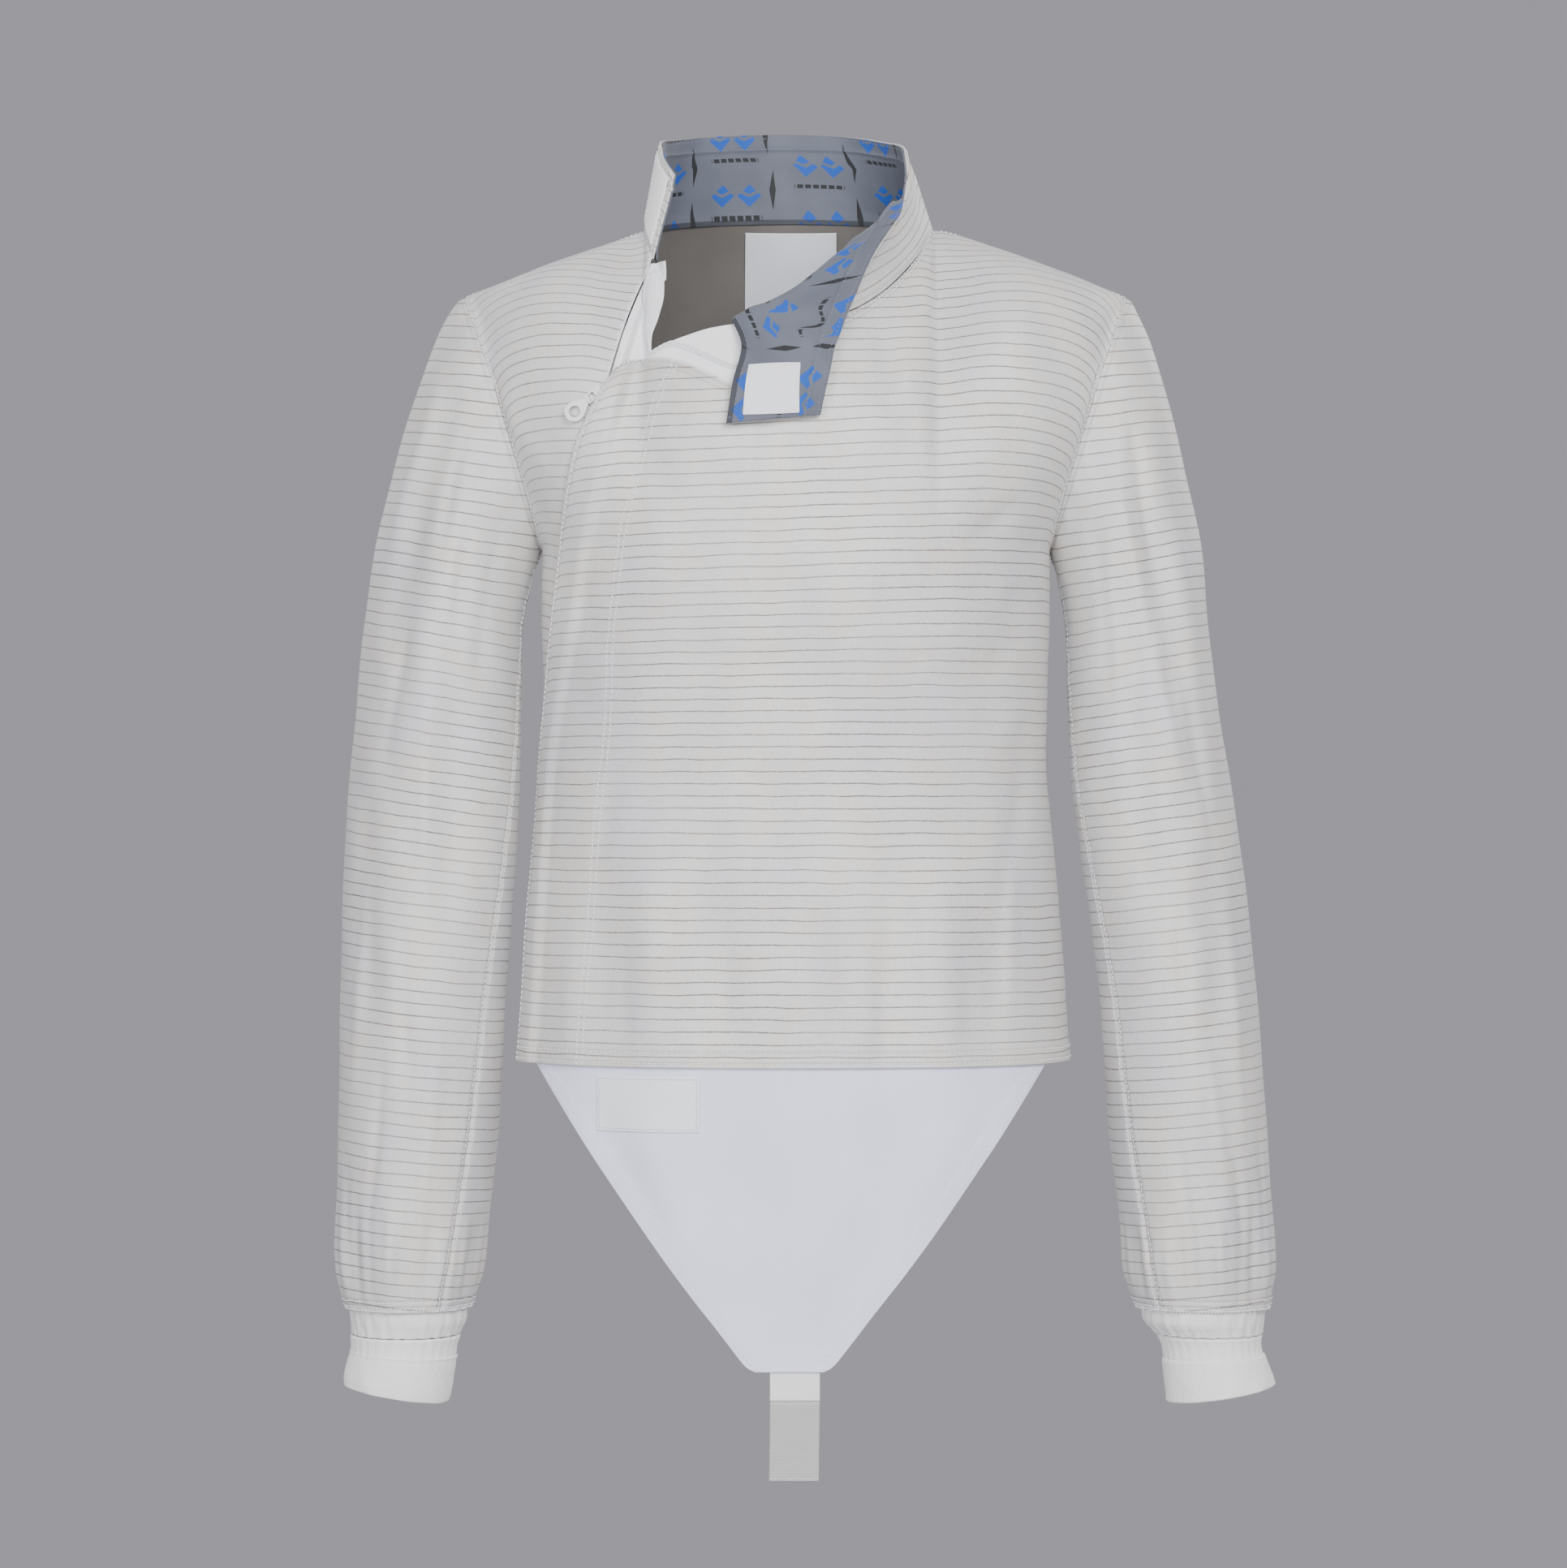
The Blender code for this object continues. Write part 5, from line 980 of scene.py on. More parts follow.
def ringNormals(points, overlap):  # normals of a grid whose first and last column meet
    wrapped = np.concatenate((points[:, -1 - overlap:][:, :1], points, points[:, overlap:overlap + 1]), axis=1)
    return gridNormals(wrapped, False)[:, 1:-1]


def makeSleeve(word, sign):
    s = np.linspace(0, 1, sleeves["rows"] + 1)
    share = (0.7 * s + 0.3 * swing(math.pi * s))[:, None]
    start = np.radians(sleeves["seamTurn"][sign] * share ** 0.8)
    angle = start + np.linspace(0, 2 * math.pi, sleeves["columns"] + 1)[None]
    points = fineEdges(sleevePoint(sign, np.broadcast_to(share, angle.shape), angle))
    armAway, cuffAway, girth = arcFrom(points, 0, 0), arcFrom(points, 0, 1), arcFrom(points, 1, 0)
    turn, frontHalf = armholeAngle(points[0, :, 2]), (points[0, :, 1] < 0)[:, None]
    target = np.where(frontHalf, seamNormal(turn, True, sign), seamNormal(turn, False, sign))
    normals = turnToward(ringNormals(points, 1), target[None], bell(armAway, seam["blend"]))
    height = -seam["groove"] * bell(armAway, seam["width"])
    pucker = np.sin(girth / 3.1) * bell(armAway - sleeves["puckerPlace"], sleeves["puckerPlace"])
    height += sleeves["pucker"] * pucker * smooth(armAway / 3)
    for end, ridge in ((0, 0.35), (1, 0.105)):  # the long seam, whose overlap is thicker on one side
        away = arcFrom(points, 1, end)
        height += ridge * bell(away - 3.4, 1.7) - 0.9 * bell(away, 1.9)
        height += 0.25 * np.sin(armAway / 2.9) * bell(away - 4, 4)
    band = 1 - smooth((cuffAway - sleeves["hem"]) / sleeves["hemEdge"])
    height += band * (0.4 + 0.3 * np.sin(girth / 1.7 + cuffAway))
    points = points + normals * height[..., None]
    x, z = points[..., 0], points[..., 2]
    slope = lerp(*sleeves["lineSlope"], smooth((-z - 100) / 480))  # of the cloth's dark lines
    along = z - sign * slope * (x - x.mean(axis=1, keepdims=True))
    sleeveGrids[word] = points, normals
    makeCloth("sleeve_" + word, points, normals, sleeves["cloth"], ["sleeve", "inside"], (girth, along),
              slot="lame", flat=(0.425, 0.606), area=0.163)


hands = (("right", -1), ("left", 1))
for word, sign in hands:
    makeSleeve(word, sign)
print("sleeves made")

# Wrists: the white end of the sleeve's lining, then the knitted cuff

wrists = {  # outer and inner side: heights, then distances from the middle for the right and the left wrist
    "lining": [(-616, -616, 260.6, 194.8, 275.4, 204.8), (-627, -627, 261.4, 194.0, 276.2, 204.0),
               (-634, -634, 260.9, 194.6, 275.6, 204.6), (-639, -639, 260.2, 196.8, 275.0, 208.4),
               (-643, -643, 260.0, 198.6, 274.6, 212.0)],
    "cuff": [(-643.3, -643.3, 259.8, 199.0, 274.4, 212.6), (-649.0, -650.0, 259.4, 201.2, 274.0, 215.6),
             (-653.5, -655.5, 259.6, 201.8, 274.6, 216.4), (-655.5, -658.5, 260.8, 201.4, 276.0, 216.2),
             (-662.0, -668.0, 262.8, 202.8, 278.4, 217.0), (-669.0, -678.0, 264.2, 204.6, 281.0, 218.0),
             (-673.0, -683.0, 264.2, 206.0, 282.0, 218.4)],
    "columns": 150, "y": -12.0, "girth": 36.0,
}


def ringGrid(rows, sign, steps):
    table = np.array(rows, float)
    at = np.linspace(0, len(table) - 1, steps)
    values = [Curve(range(len(table)), table[:, k])(at) for k in range(6)]
    outerZ, innerZ = values[0], values[1]
    far, near = values[2:4] if sign < 0 else values[4:6]
    angle = 2 * math.pi * np.arange(wrists["columns"]) / wrists["columns"]
    half, middle = ((far - near) / 2)[:, None], ((far + near) / 2)[:, None]
    x, y = sign * (middle - half * np.cos(angle)), wrists["y"] - half * np.sin(angle)
    z = lerp(innerZ[:, None], outerZ[:, None], swing(angle))
    return np.stack((x, y, z), -1), angle[None], at[:, None]


def makeRings(name, part, sign, steps, thickness, look, **facts):
    points, angle, at = ringGrid(wrists[part], sign, steps)
    normals = ringNormals(points, 0)
    if part == "lining":
        height = 0.35 * np.sin(23 * angle + at) * smooth(at / 2) + 0.2 * np.sin(41 * angle)
    else:
        height = 0.22 * np.sin(31 * angle) * smooth((4 - at) / 2) - 0.7 * bell(at - 2.55, 0.22)
        height = height + 0.35 * smooth((at - 2.6) / 0.5) + 0.25 * np.sin(9 * angle + at) * smooth((at - 3) / 2)
    points = points + normals * height[..., None]
    place = np.broadcast_to(angle * wrists["girth"], points.shape[:2]), arcFrom(points, 0, 0)
    makeCloth(name, points, normals, thickness, [look], place, ("bottom", "top"), True, **facts)
    wristGrids[name] = [np.concatenate((grid, grid[:, :1]), 1) for grid in (points, normals)]


for word, sign in hands:
    makeRings("wrist_lining_" + word, "lining", sign, 26, 0.9, "wrist", flat=(0.22, 0.028), held="gathered")
    makeRings("cuff_" + word, "cuff", sign, 60, 2.1, "knit", flat=(0.18, 0.04), held="stretched", slot="knit")
print("wrists made")

# Collar: one band round the neck, standing at the back and folded over at the free front end

collar = {
    "band": [  # angle round the neck, then x, y, z of the fold and of the free edge
        (-60, -70, -30, 36, -70, -30, 36), (-75, -77, -12, 49, -77, -12, 49), (-90, -79, 5, 60, -79, 5, 60),
        (-120, -69, 35, 66, -69, 35, 66), (-150, -42, 54, 71, -42, 54, 71), (-180, -8, 62, 73, -8, 62, 73),
        (-210, 25, 55, 71, 25, 55, 71), (-240, 50, 35, 65, 50, 35, 65), (-270, 64, 5, 56, 64, 5, 56),
        (-290, 65, -10, 41, 65, -10, 41), (-310, 57.5, -28.5, 20.5, 62, -36, 14.5), (-321, 43, -52, 4, 55, -58, 1),
        (-332, 26, -68, -11, 46, -76, -14), (-348, -2, -80, -35, 33, -85, -43),
        (-368, -25, -85, -47.5, 22, -96, -72)],
    "tab": [  # x, y, z of the lower and of the upper edge
        (-31, -93, -70, 20, -100.5, -83), (-36, -102, -92, 17, -103, -96),
        (-39.5, -105.5, -115.5, 14, -104.5, -110.5)],
    "foot": -0.4, "standingShare": 0.62, "tabFold": 0.08, "ease": 5.0, "outer": 1.3, "lining": 1.0, "gap": 0.3,
    "columns": 230, "rows": 66, "hem": 9.5, "tuck": 2.4, "tuckReach": 7.0, "tabFrom": 0.86,
    "folds": [  # share along the band and level at both ends, half width, height
        (0.60, 0.2, 0.66, 1.9, 0.012, 0.9), (0.64, 0.1, 0.72, 1.6, 0.01, -1.0), (0.70, 0.3, 0.74, 1.9, 0.010, 0.8),
        (0.30, 0.1, 0.27, 1.9, 0.016, 0.8), (0.40, 0.0, 0.43, 1.9, 0.018, -0.8), (0.50, 0.1, 0.52, 1.9, 0.014, 0.7),
        (0.12, 0.1, 0.14, 1.9, 0.012, 0.6), (0.80, 1.0, 0.83, 2.0, 0.012, -0.6)],
    "patch": 0.8,
    "loop": ((0.012, 0.16), (0.095, 0.16), (0.012, 1.74), (0.095, 1.74)),
    "hook": ((0.993, 1.09), (0.995, 1.75), (0.940, 1.05), (0.926, 1.64)),
}


def collarLines():  # base, fold and free edge as curves of the share along the band, and the band's length
    table = collar["band"]
    turns = [-row[0] for row in table]
    fine = np.interp(np.linspace(0, len(table) - 1, 3 * len(table) - 2), range(len(table)), turns)
    folds, edges = [], []
    for row in table:
        fold, edge = np.array(row[1:4], float), np.array(row[4:7], float)
        folds.append(lerp(neckPoint(row[0]), edge, collar["standingShare"]) if row[1] == row[4] else fold)
        edges.append(edge)
    lines = [[Curve(turns, [p[k] for p in line]) for k in range(3)] for line in (folds, edges)]
    fold, edge = ([np.array([float(curve(turn)) for curve in line]) for turn in fine] for line in lines)
    base = [neckPoint(-turn) for turn in fine]
    base = [b + (f - b) / np.linalg.norm(f - b) * collar["foot"] for b, f in zip(base, fold)]
    for row in collar["tab"]:
        base.append(np.array(row[:3], float))
        edge.append(np.array(row[3:], float))
        fold.append(lerp(base[-1], edge[-1], collar["tabFold"]))
    base, fold, edge = np.array(base), np.array(fold), np.array(edge)
    steps = np.linalg.norm(np.diff((base + edge) / 2, axis=0), axis=1)
    along = np.concatenate(([0.0], np.cumsum(steps))) / steps.sum()
    return [[Curve(along, line[:, k]) for k in range(3)] for line in (base, fold, edge)], steps.sum()


collarCurves, collarLength = collarLines()


def collarPoint(share, level):  # level: 0 is the foot, 1 the fold, 2 the free edge
    base, fold, edge = (np.stack([curve(share) for curve in line], -1) for line in collarCurves)
    rise, hang = (np.linalg.norm(d, axis=-1, keepdims=True) for d in (fold - base, edge - fold))
    level = np.asarray(level)[..., None]
    distance = rise * np.minimum(level, 1) + hang * np.maximum(level - 1, 0)
    ease = np.minimum(collar["ease"], np.minimum(rise, hang) * 0.45)
    up, out = (fold - base) / rise, (edge - fold) / hang
    t = np.clip((distance - rise + ease) / (2 * ease), 0, 1)
    bend = (1 - t) ** 2 * (fold - up * ease) + 2 * t * (1 - t) * fold + t * t * (fold + out * ease)
    hanging = np.where(distance > rise + ease, fold + out * (distance - rise), bend)
    return np.where(distance < rise - ease, base + up * distance, hanging)


shares, levels = np.meshgrid(np.linspace(0, 1, collar["columns"]), np.linspace(0, 2, collar["rows"]))
band = fineEdges(collarPoint(shares, levels))
bandNormals = crossNormals(band)
share = arcFrom(band, 1, 0) / arcFrom(band, 1, 0)[:, -1:]
high = 2 * arcFrom(band, 0, 0) / arcFrom(band, 0, 0)[-1:]
freeAway, footAway = arcFrom(band, 0, 1), arcFrom(band, 0, 0)
wrinkle = creaseField(share, high, collar["folds"])
wrinkle += 0.22 * np.sin(share * 88 + high * 2) * np.sin(high * 3.1 + share * 9)
wrinkle += 0.4 * smooth(1 - freeAway / collar["hem"]) - 0.9 * bell(freeAway - 9, 1.3)
band = band + bandNormals * wrinkle[..., None]
bandPlace = share * collarLength, footAway
bandOuter = band + bandNormals * collar["outer"], bandNormals
makeCloth("collar", *bandOuter, collar["outer"] + 0.25, ["collar"], bandPlace, slot="lame", flat=(0.53, 0.066),
          area=0.0235, restsOn=["back", "front_main"])
lined = band - bandNormals * (collar["gap"] + collar["lining"])
down = unit(lined[:1] - lined[4:5]) * (collar["tuck"] * (1 - smooth((share[:1] - 0.78) / 0.08)))[..., None]
tuck = down - bandNormals * 0.85 * np.linalg.norm(down, axis=-1, keepdims=True)  # the foot goes in and down
bandInner = lined + tuck * (1 - smooth(footAway / collar["tuckReach"]))[..., None], -bandNormals
makeCloth("collar_lining", *bandInner, collar["lining"], ["print"], bandPlace, slot="collar_lining",
          flat=(0.525, 0.067), area=0.0235, restsOn=["collar"])


def bandPatch(name, place, over, look, flat):  # place: share and level of each corner, left to right and low to top
    across, up = np.meshgrid(np.linspace(0, 1, 44), np.linspace(0, 1, 40))
    lowLeft, lowRight, topLeft, topRight = place
    at = [lerp(lerp(lowLeft[k], lowRight[k], across), lerp(topLeft[k], topRight[k], across), up) for k in (0, 1)]
    points = fineEdges(collarPoint(*at))
    normals = crossNormals(points)
    away = nearestEdge(points)
    swell = 0.25 * smooth(away / 2.5) - 0.12 * bell(away - 2.0, 0.8)
    facing = normals if over > 0 else -normals
    points = points + normals * over + facing * swell[..., None]
    makeCloth(name, points, facing, collar["patch"], [look], flat=flat, held="laid", restsOn=["collar"])
    return points, facing


above = collar["patch"] + 0.1
loopPatch = bandPatch("loop_patch", collar["loop"], collar["outer"] + above, "loop", (0.037, 0.038))
hookOver = -(collar["gap"] + collar["lining"] + above)
hookPatch = bandPatch("hook_patch", collar["hook"], hookOver, "hook", (0.032, 0.031))
print("collar made")


# Zip: tape on the side front, chain under the placket, and the facing at the drooping open edge

zipParts = {
    "tapeTop": -17.0, "gap": 0.9, "wall": 1.1, "chainWidth": 6.0, "coil": 6.2, "coilPitch": 1.25, "chainCoil": 2.4,
    "tapeStart": 8.0, "depth": 0.4, "tapeDip": 2.3, "dipZ": -58.0, "dipReach": 14.0,
    "tapeEdge": [  # z, then x of the tape's free edge
        (-95.0, -92.0), (-84.0, -88.0), (-75.0, -86.0), (-62.0, -83.6), (-50.0, -79.0), (-39.0, -76.4),
        (-28.0, -75.8), (-15.0, -76.5)],
    "facingTop": [  # x, then z of the facing's top edge
        (-87.0, -73.6), (-79.0, -67.2), (-74.5, -65.5), (-65.0, -62.0), (-47.0, -56.5), (-32.0, -54.5),
        (-15.0, -56.5), (0.0, -57.0)],
    "facingTuck": 14.0, "facingDepth": 2.6, "facingCoil": 9.0, "facingWall": 0.9,
}
facingTop, tapeEdge = (curvesOf(zipParts[k])[0] for k in ("facingTop", "tapeEdge"))


def zipStrip(name, low, high, rows, end, columns, dip, **facts):
    zs = np.linspace(low, high, rows)[:, None]
    start = besideZip(zs[:, 0], zipParts["gap"])[:, None]
    xs = lerp(start, end(zs[:, 0])[:, None], np.linspace(0, 1, columns)[None])
    zs = np.repeat(zs, columns, axis=1)
    depth = zipParts["depth"] + dip * smooth((zipParts["dipZ"] - zs) / zipParts["dipReach"])
    points = fineEdges(onBody(xs, zs, True, depth))
    normals = gridNormals(points)
    ripple = 0.25 * np.sin(points[..., 2] / 3.3) * np.sin(arcFrom(points, 1, 0) / 5)
    grid = points + normals * ripple[..., None], normals
    makeCloth(name, *grid, zipParts["wall"], ["tape"], held="laid", restsOn=["front_side"], **facts)
    return grid


tape = zipStrip("zip_tape_side", closure["sliderZ"] + zipParts["tapeStart"], zipParts["tapeTop"], 60, tapeEdge, 26,
                zipParts["tapeDip"], flat=(0.022, 0.083), area=0.0017)
chain = zipStrip("zip_chain", torso["hemZ"] + 4, closure["sliderZ"] - zipParts["tapeStart"], 140,
                 lambda z: besideZip(z, zipParts["chainWidth"]), 12, 0.0, flat=(0.01, 0.386), area=0.0019)


def coilRow(line, length=3.6, end=1.0):  # the coil's turns, then the two cords that it is sewn on with
    total = lengthOf(line[0]) * end
    at = np.arange(0.6, total, zipParts["coilPitch"])
    centre, forward, up = alongPath(*line, at)
    addThreads("zip_coils", centre + up * 0.3, np.cross(forward, up), up, np.full(len(at), length), 0.52, 6)
    at = np.arange(0.6, total, 3.0)
    centre, forward, up = alongPath(*line, at)
    for away in (-1, 1):
        cord = centre + np.cross(forward, up) * (away * length * 0.42) + up * 0.3
        addThreads("zip_coils", cord, forward, up, np.full(len(at), 3.6), 0.5)


coilRow(edgeLine(*tape, "left", zipParts["coil"]), end=0.93)
coilRow(edgeLine(*chain, "left", zipParts["chainCoil"]))
columns = np.linspace(zipParts["facingTop"][0][0], zipParts["facingTop"][-1][0], 90)
zs = lerp((droopZ(columns) - zipParts["facingTuck"])[None], facingTop(columns)[None], np.linspace(0, 1, 44)[:, None])
points = fineEdges(onBody(np.broadcast_to(columns[None], zs.shape), zs, True, zipParts["facingDepth"]))
normals = gridNormals(points)
sway = 0.45 * np.sin(points[..., 0] / 5.5 + points[..., 2] / 9) * smooth(arcFrom(points, 0, 1) / 8)
facing = points + normals * sway[..., None], normals
makeCloth("zip_facing", *facing, zipParts["facingWall"], ["facing"], flat=(0.098, 0.05), area=0.0031,
          restsOn=["front_main"])


def swapped(grid, axes=True):  # x and z change places, and the grid's rows and columns too
    return [(np.swapaxes(part, 0, 1) if axes else part)[..., [2, 1, 0]] for part in grid]


def coilHeight(x):  # it comes nearer to the drooping edge at the facing's narrow end
    return droopZ(x) + np.minimum(zipParts["facingCoil"], 4 + (x + 79) * 0.6)


coilRow(swapped(crossLine(*swapped(facing), coilHeight), False), length=3.2)
print("zip made")


# Apron with its label, and the strap on its tab

apron = {
    "sides": ((-153.0, -27.0), (147.0, 19.5)), "bottom": -656.0, "tuck": 12.0, "corner": 6.0, "bow": 3.5,
    "lean": 8.0, "leanReach": 180.0, "foldStart": 30.0, "hem": 13.2, "depth": 2.5, "cloth": 1.0,
    "label": (-115.0, -55.0, -519.0, -487.0), "labelCloth": 0.5, "rows": 120, "columns": 110,
    "strapX": -0.5, "strapWidth": 29.0, "tabZ": -672.5, "tabOverlap": 12.0, "strapZ": -718.5, "strapCloth": 1.2,
    "strapLean": 0.012,
    "folds": [  # x and z of both ends, half width, height
        (-40, -650, -92, -500, 13, 2.0), (-20, -650, -36, -480, 12, -1.8), (6, -650, 6, -470, 14, 1.6),
        (22, -645, 62, -490, 13, -1.8), (34, -630, 104, -490, 12, 1.6), (-70, -590, -126, -488, 10, -1.3),
        (-10, -600, -12, -530, 6, -0.8), (40, -600, 48, -540, 6, 0.8)],
}


def apronPoint(xs, zs, depth):
    level, step = np.maximum(zs, torso["hemZ"]), 0.5
    across = bodyPoint(xs + step, level) - bodyPoint(xs - step, level)
    upward = bodyPoint(xs, level + step) - bodyPoint(xs, level - step)
    normals = unit(np.cross(across, upward))
    points = bodyPoint(xs, level) - np.where(normals[..., 1:2] > 0, -normals, normals) * depth
    below = torso["hemZ"] - zs
    folds = foldField(xs, zs, apron["folds"]) + softRipple(xs, zs, 0.3)
    points[..., 1] += apron["lean"] * smooth(below / apron["leanReach"]) - folds * smooth(below / apron["foldStart"])
    points[..., 2] = zs
    return points


def apronCloth(name, xs, zs, depth, thickness, look, **facts):
    points = fineEdges(apronPoint(xs, zs, depth))
    normals = gridNormals(points)
    if name == "apron":
        away = nearestEdge(points)
        band = 0.35 * (1 - smooth((away - apron["hem"]) / 1.4)) - 0.3 * bell(away - 13.0, 1.0)
        points = points + normals * band[..., None]
    makeCloth(name, points, normals, thickness, [look], (points[..., 0], points[..., 2]), **facts)
    return points, normals


zs = np.linspace(apron["bottom"], torso["hemZ"] + apron["tuck"], apron["rows"])
slope = np.clip((torso["hemZ"] - zs) / (torso["hemZ"] - apron["bottom"]), -0.02, 1)
bow = apron["bow"] * np.sin(math.pi * np.clip(slope, 0, 1))
above = np.clip(zs - apron["bottom"], 0, apron["corner"])
cut = apron["corner"] - np.sqrt(np.maximum(apron["corner"] ** 2 - (apron["corner"] - above) ** 2, 0))
left, right = (lerp(*side, slope) + sign * (bow - cut * 0.6) for side, sign in zip(apron["sides"], (-1, 1)))
turn = np.linspace(-1, 1, apron["columns"])
spread = (1 + np.sin(turn * math.pi / 2) * 0.35 + turn * 0.65) / 2
xs = lerp(left[:, None], right[:, None], spread[None])
apronGrid = apronCloth("apron", xs, np.broadcast_to(zs[:, None], xs.shape), apron["depth"], apron["cloth"], "apron",
                       flat=(0.335, 0.187), area=0.0358, restsOn=["front_main"])
apronLabel = apronCloth("apron_label", *sheetPlaces(*apron["label"], 56, 34), apron["depth"] - apron["cloth"],
                        apron["labelCloth"], "label", flat=(0.062, 0.032), held="laid", restsOn=["apron"])
behind = apron["depth"] + apron["cloth"] + 0.5
strapSides = apron["strapX"] - apron["strapWidth"] / 2, apron["strapX"] + apron["strapWidth"] / 2
xs, zs = sheetPlaces(*strapSides, apron["tabZ"], apron["bottom"] + apron["tabOverlap"], 26, 26)
strapTab = apronCloth("strap_tab", xs, zs, behind, apron["strapCloth"], "tab", flat=(0.029, 0.0285),
                      restsOn=["apron"])
xs, zs = sheetPlaces(*strapSides, apron["strapZ"], apron["tabZ"] - 0.2, 26, 44)
strap = apronCloth("strap", xs - apron["strapLean"] * (apron["tabZ"] - zs), zs, behind, apron["strapCloth"],
                   "elastic", slot="elastic", flat=(0.029, 0.046), restsOn=["strap_tab"])
print("apron and strap made")


# Sewing

def sew(kind, grid, edges, distances, **stitch):  # rows at distances inside the edges of a piece
    for edge in edges:
        for away in distances:
            stitchRow(kind, edgeLine(*grid, edge, away), **stitch)


def columnsOf(grid, keep):
    return grid[0][:, keep], grid[1][:, keep]


sewing = {
    "inner": [  # x and z of the placket's inner row
        (-71, -80), (-80, -97), (-90, -133), (-97, -159), (-102, -184), (-105, -210), (-108, -237), (-109, -262),
        (-110, -288), (-113, -314), (-116, -340), (-120, -400), (-124, -440), (-126.5, -482)],
    "twin": 3.4, "seam": {"pitch": 3.0, "length": 2.15, "radius": 0.33},
}
silver, white, grey, blue = "thread_silver", "thread_white", "thread_grey", "thread_blue"
sew(silver, front, ["left"], [3.0], span=(0.0, 0.985))
for shift in (0.0, sewing["twin"]):
    row = curvesOf([(z, x + shift) for x, z in sewing["inner"][::-1]])[0]
    stitchRow(silver, crossLine(*front, row))
for grid in (front, side, back):
    sew(silver, grid, ["bottom"], [2.4, 8.6])
for grid, edges in ((front, ["right"]), (side, ["left"]), (back, ["left", "right"])):
    sew(silver, grid, edges, [2.6], **sewing["seam"])
for grid, start in ((front, 2), (back, -100)):  # along the neck
    x = grid[0][-1, :, 0]
    keep = (np.abs(x) < np.where(x > 0, torso["neckLeft"], torso["neckRight"]) + 0.5) & (x > start)
    sew(silver, columnsOf(grid, keep), ["top"], [2.6, 6.0])
for grid in (front, back, side):  # along the shoulders
    x = grid[0][-1, :, 0]
    for sign in (-1, 1):
        keep = (x * sign > torso["neckRight"] - 4) & (np.abs(x) < torso["tipX"] - 2)
        if keep.sum() > 3:
            sew(silver, columnsOf(grid, keep), ["top"], [2.6], **sewing["seam"])
overlockRow(silver, edgeLine(*columnsOf(front, front[0][-1, :, 0] < -4), "top", 0.5))
overlockRow(silver, edgeLine(*side, "right", 0.5), span=(0.79, 1.0), inward=-1)
for grid in sleeveGrids.values():
    sew(silver, grid, ["left"], [2.6], radius=0.28)
    sew(silver, grid, ["right"], [2.4], pitch=3.0, length=2.0, radius=0.24)
    sew(silver, grid, ["top"], [2.6, 6.0], pitch=2.9, length=2.2, radius=0.32)
    overlockRow(silver, edgeLine(*grid, "top", 0.6), reach=2.0, pitch=1.9, radius=0.24)
for edge, away in (("top", 9.0), ("left", 3.5), ("right", 3.5), ("top", 2.2)):
    sew(silver, bandOuter, [edge], [away], pitch=3.0, length=2.2, radius=0.27)
    sew(grey, bandInner, [edge], [away], pitch=3.0, length=2.1, radius=0.2, lift=-0.02)
sew(grey, columnsOf(bandInner, share[0] > collar["tabFrom"]), ["bottom"], [3.5], pitch=3.0, length=2.1, radius=0.2)
for grid in (loopPatch, hookPatch):
    sew(white, grid, edgeOf, [2.0], pitch=2.6, length=1.9, radius=0.2, span=(0.05, 0.95))
for edge in ("left", "right", "bottom"):
    for away, trim in ((4.0, 0.0), (13.2, 0.03)):
        sew(white, apronGrid, [edge], [away], pitch=3.3, length=2.3, radius=0.25, span=(trim, 1 - trim))
sew(blue, apronLabel, edgeOf, [1.7], pitch=2.1, length=1.5, radius=0.22, span=(0.03, 0.97))
sew(white, strapTab, edgeOf, [2.2], pitch=2.4, length=1.8, radius=0.22, span=(0.05, 0.95))
sew(white, label, ["left", "right", "top"], [1.6], pitch=2.4, length=1.7, radius=0.16, span=(0.02, 0.98))
sew(white, strap, ["top", "bottom"], [1.6], pitch=2.2, length=1.6, radius=0.22)
sew(white, tape, ["left", "right"], [1.8], pitch=2.6, length=1.8, radius=0.18)
for name, grid in wristGrids.items():
    if name.startswith("wrist"):
        sew(white, grid, ["top"], [7.5], pitch=2.8, length=2.0, radius=0.2)
        sew(white, grid, ["top"], [1.6], pitch=2.4, length=1.8, radius=0.22)
    else:
        sew(white, grid, ["bottom"], [2.0], pitch=2.4, length=1.8, radius=0.22)
finishThreads()
print("sewing done")


# Slider and pull keep their solids

for name in ("zip_pull", "zip_slider"):
    for place in nodes[name].material_slots:
        place.material = finishes["enamel"]


# Floor, light and camera. The world's plain grey is the backdrop, so that all sides can be seen.

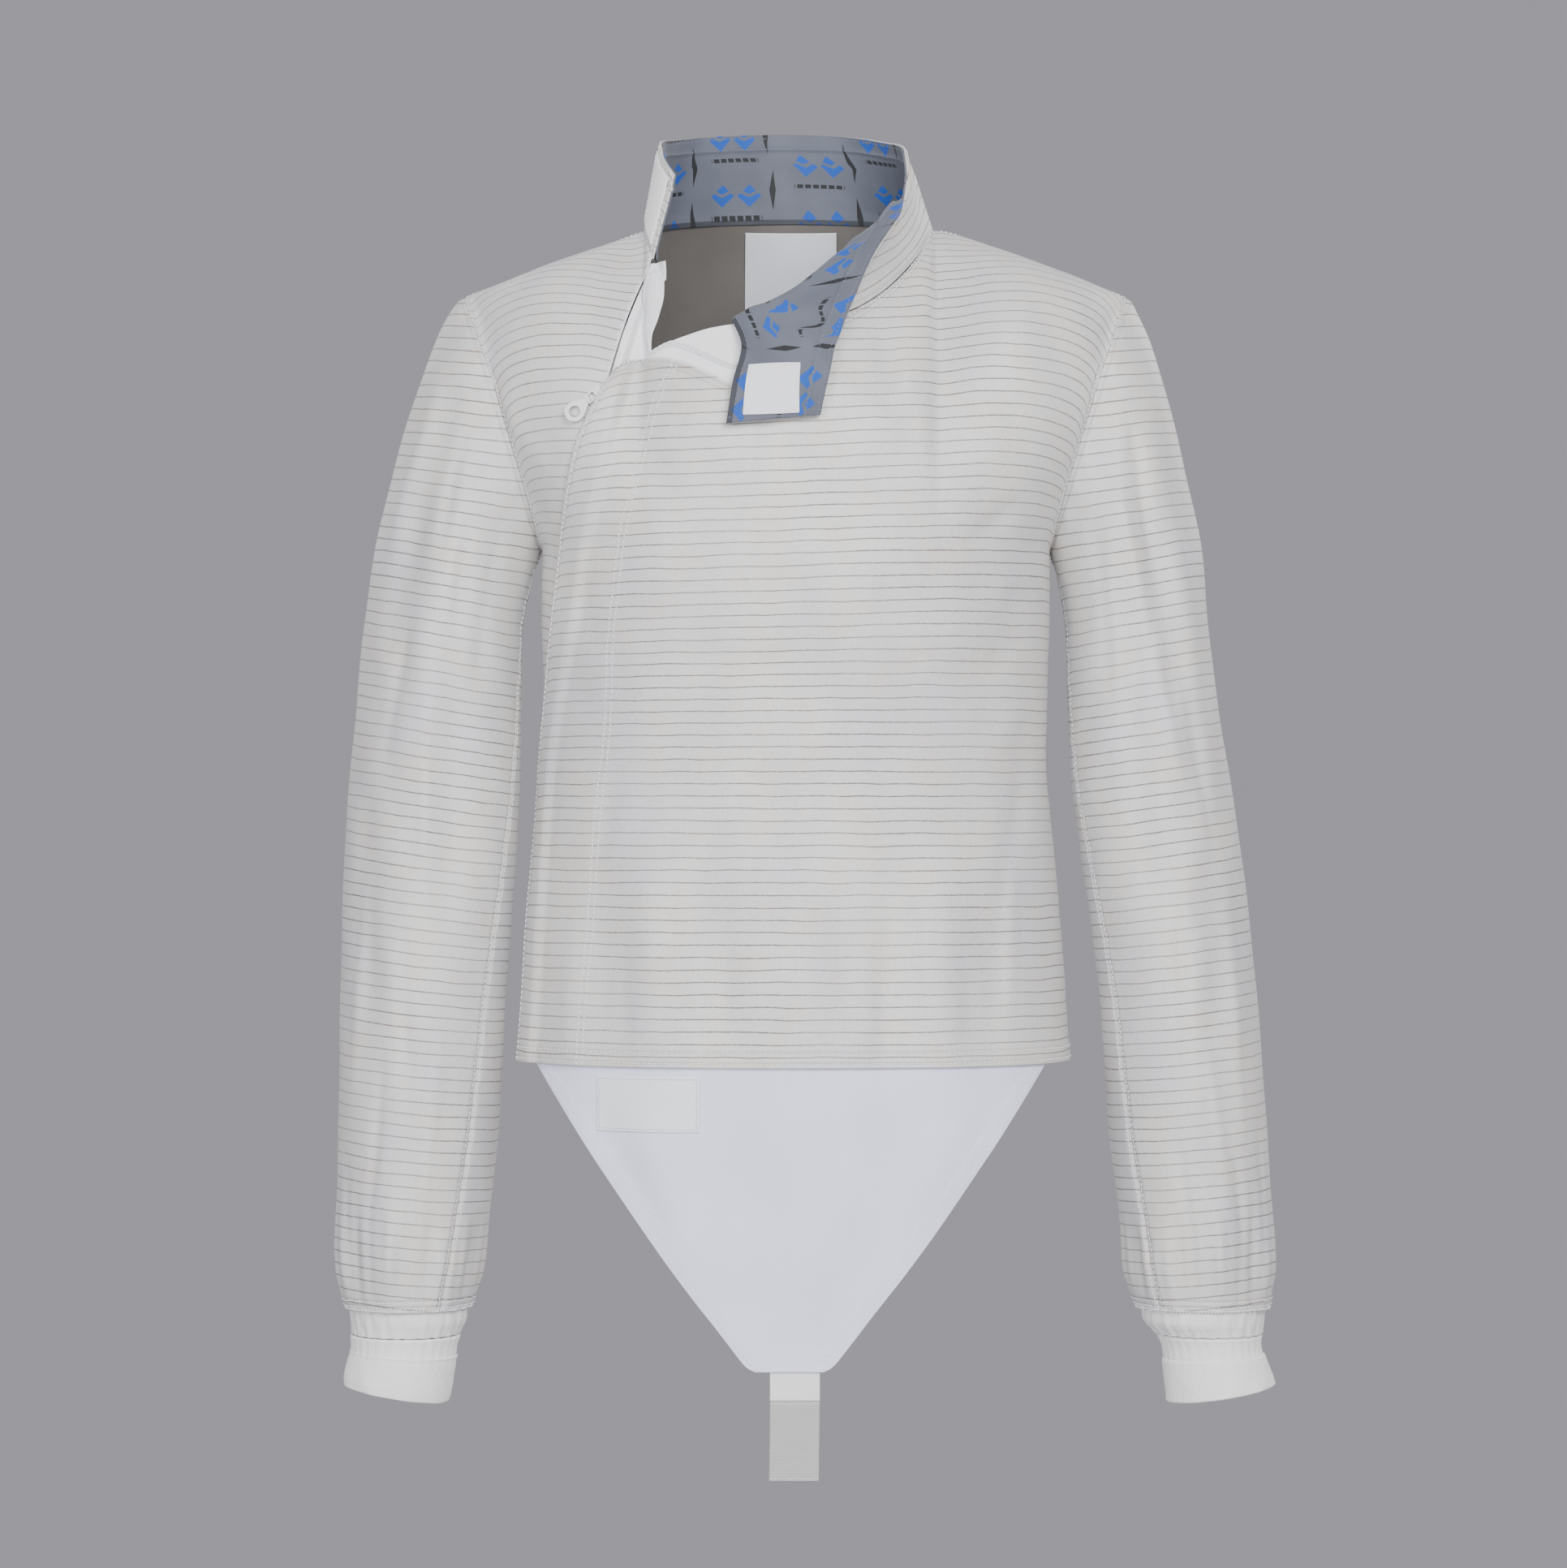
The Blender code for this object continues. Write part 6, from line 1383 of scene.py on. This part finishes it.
studio = {
    "camera": (-0.007, -2.6, -0.320), "lens": 100.98, "sensor": 36.0, "radius": 1.2, "floor": -1.02,
    "grey": paint(150, 148, 155), "grain": paint(144, 142, 149), "sky": (0.935, 0.905, 1.0, 1.0), "ambient": 0.39,
    "lights": [  # place, height of the point it faces, size, power, colour
        ((0.8, -2.7, 0.9), -0.3, 1.3, 95.0, (1, 0.99, 0.97)), ((-1.2, -2.5, 0.2), -0.35, 1.3, 44.0, (0.98, 0.99, 1)),
        ((0.0, -2.8, -0.8), -0.45, 1.2, 20.0, (1, 1, 1)), ((-0.6, 0.9, 1.5), -0.1, 0.9, 9.0, (1, 1, 1)),
        ((1.4, 1.1, 0.9), -0.3, 0.9, 8.0, (1, 1, 1)), ((2.3, 2.4, 0.9), -0.3, 1.2, 34.0, (1, 1, 1)),
        ((-2.3, 2.4, 0.6), -0.3, 1.2, 22.0, (1, 1, 1))],
}
turns = np.radians(np.arange(0, 360, 5))
verts = np.stack((studio["radius"] * np.cos(turns), studio["radius"] * np.sin(turns),
                  np.full(len(turns), studio["floor"])), -1)
paper = Look("greyPaper", {"Roughness": 0.95})
grain = paper.noise(paper.add("ShaderNodeTexCoord", out=3), 300.0, 2.0)
paper.finish(paper.mix(grain * 0.06, studio["grey"], studio["grain"]))
makeMesh("floor", verts, [tuple(range(len(turns)))], [paper.material])


def placed(name, data, place, turn):
    made = bpy.data.objects.new(name, data)
    made.location, made.rotation_euler = place, turn
    bpy.context.scene.collection.objects.link(made)
    return made


for k, (place, faces, size, power, colour) in enumerate(studio["lights"]):
    light = bpy.data.lights.new("softbox" + str(k + 1), "AREA")
    light.size, light.energy, light.color = size, power, colour
    placed(light.name, light, place, (Vector((0, 0, faces)) - Vector(place)).to_track_quat("-Z", "Y").to_euler())
world = bpy.data.worlds.new("studio")
world.use_nodes = True
backdrop = world.node_tree.nodes["Background"].inputs
backdrop["Color"].default_value, backdrop["Strength"].default_value = studio["sky"], studio["ambient"]
bpy.context.scene.world = world
camera = bpy.data.cameras.new("camera")
camera.sensor_fit, camera.sensor_width, camera.lens = "HORIZONTAL", studio["sensor"], studio["lens"]
bpy.context.scene.camera = placed("camera", camera, studio["camera"], (math.pi / 2, 0, 0))

print("scene ready")
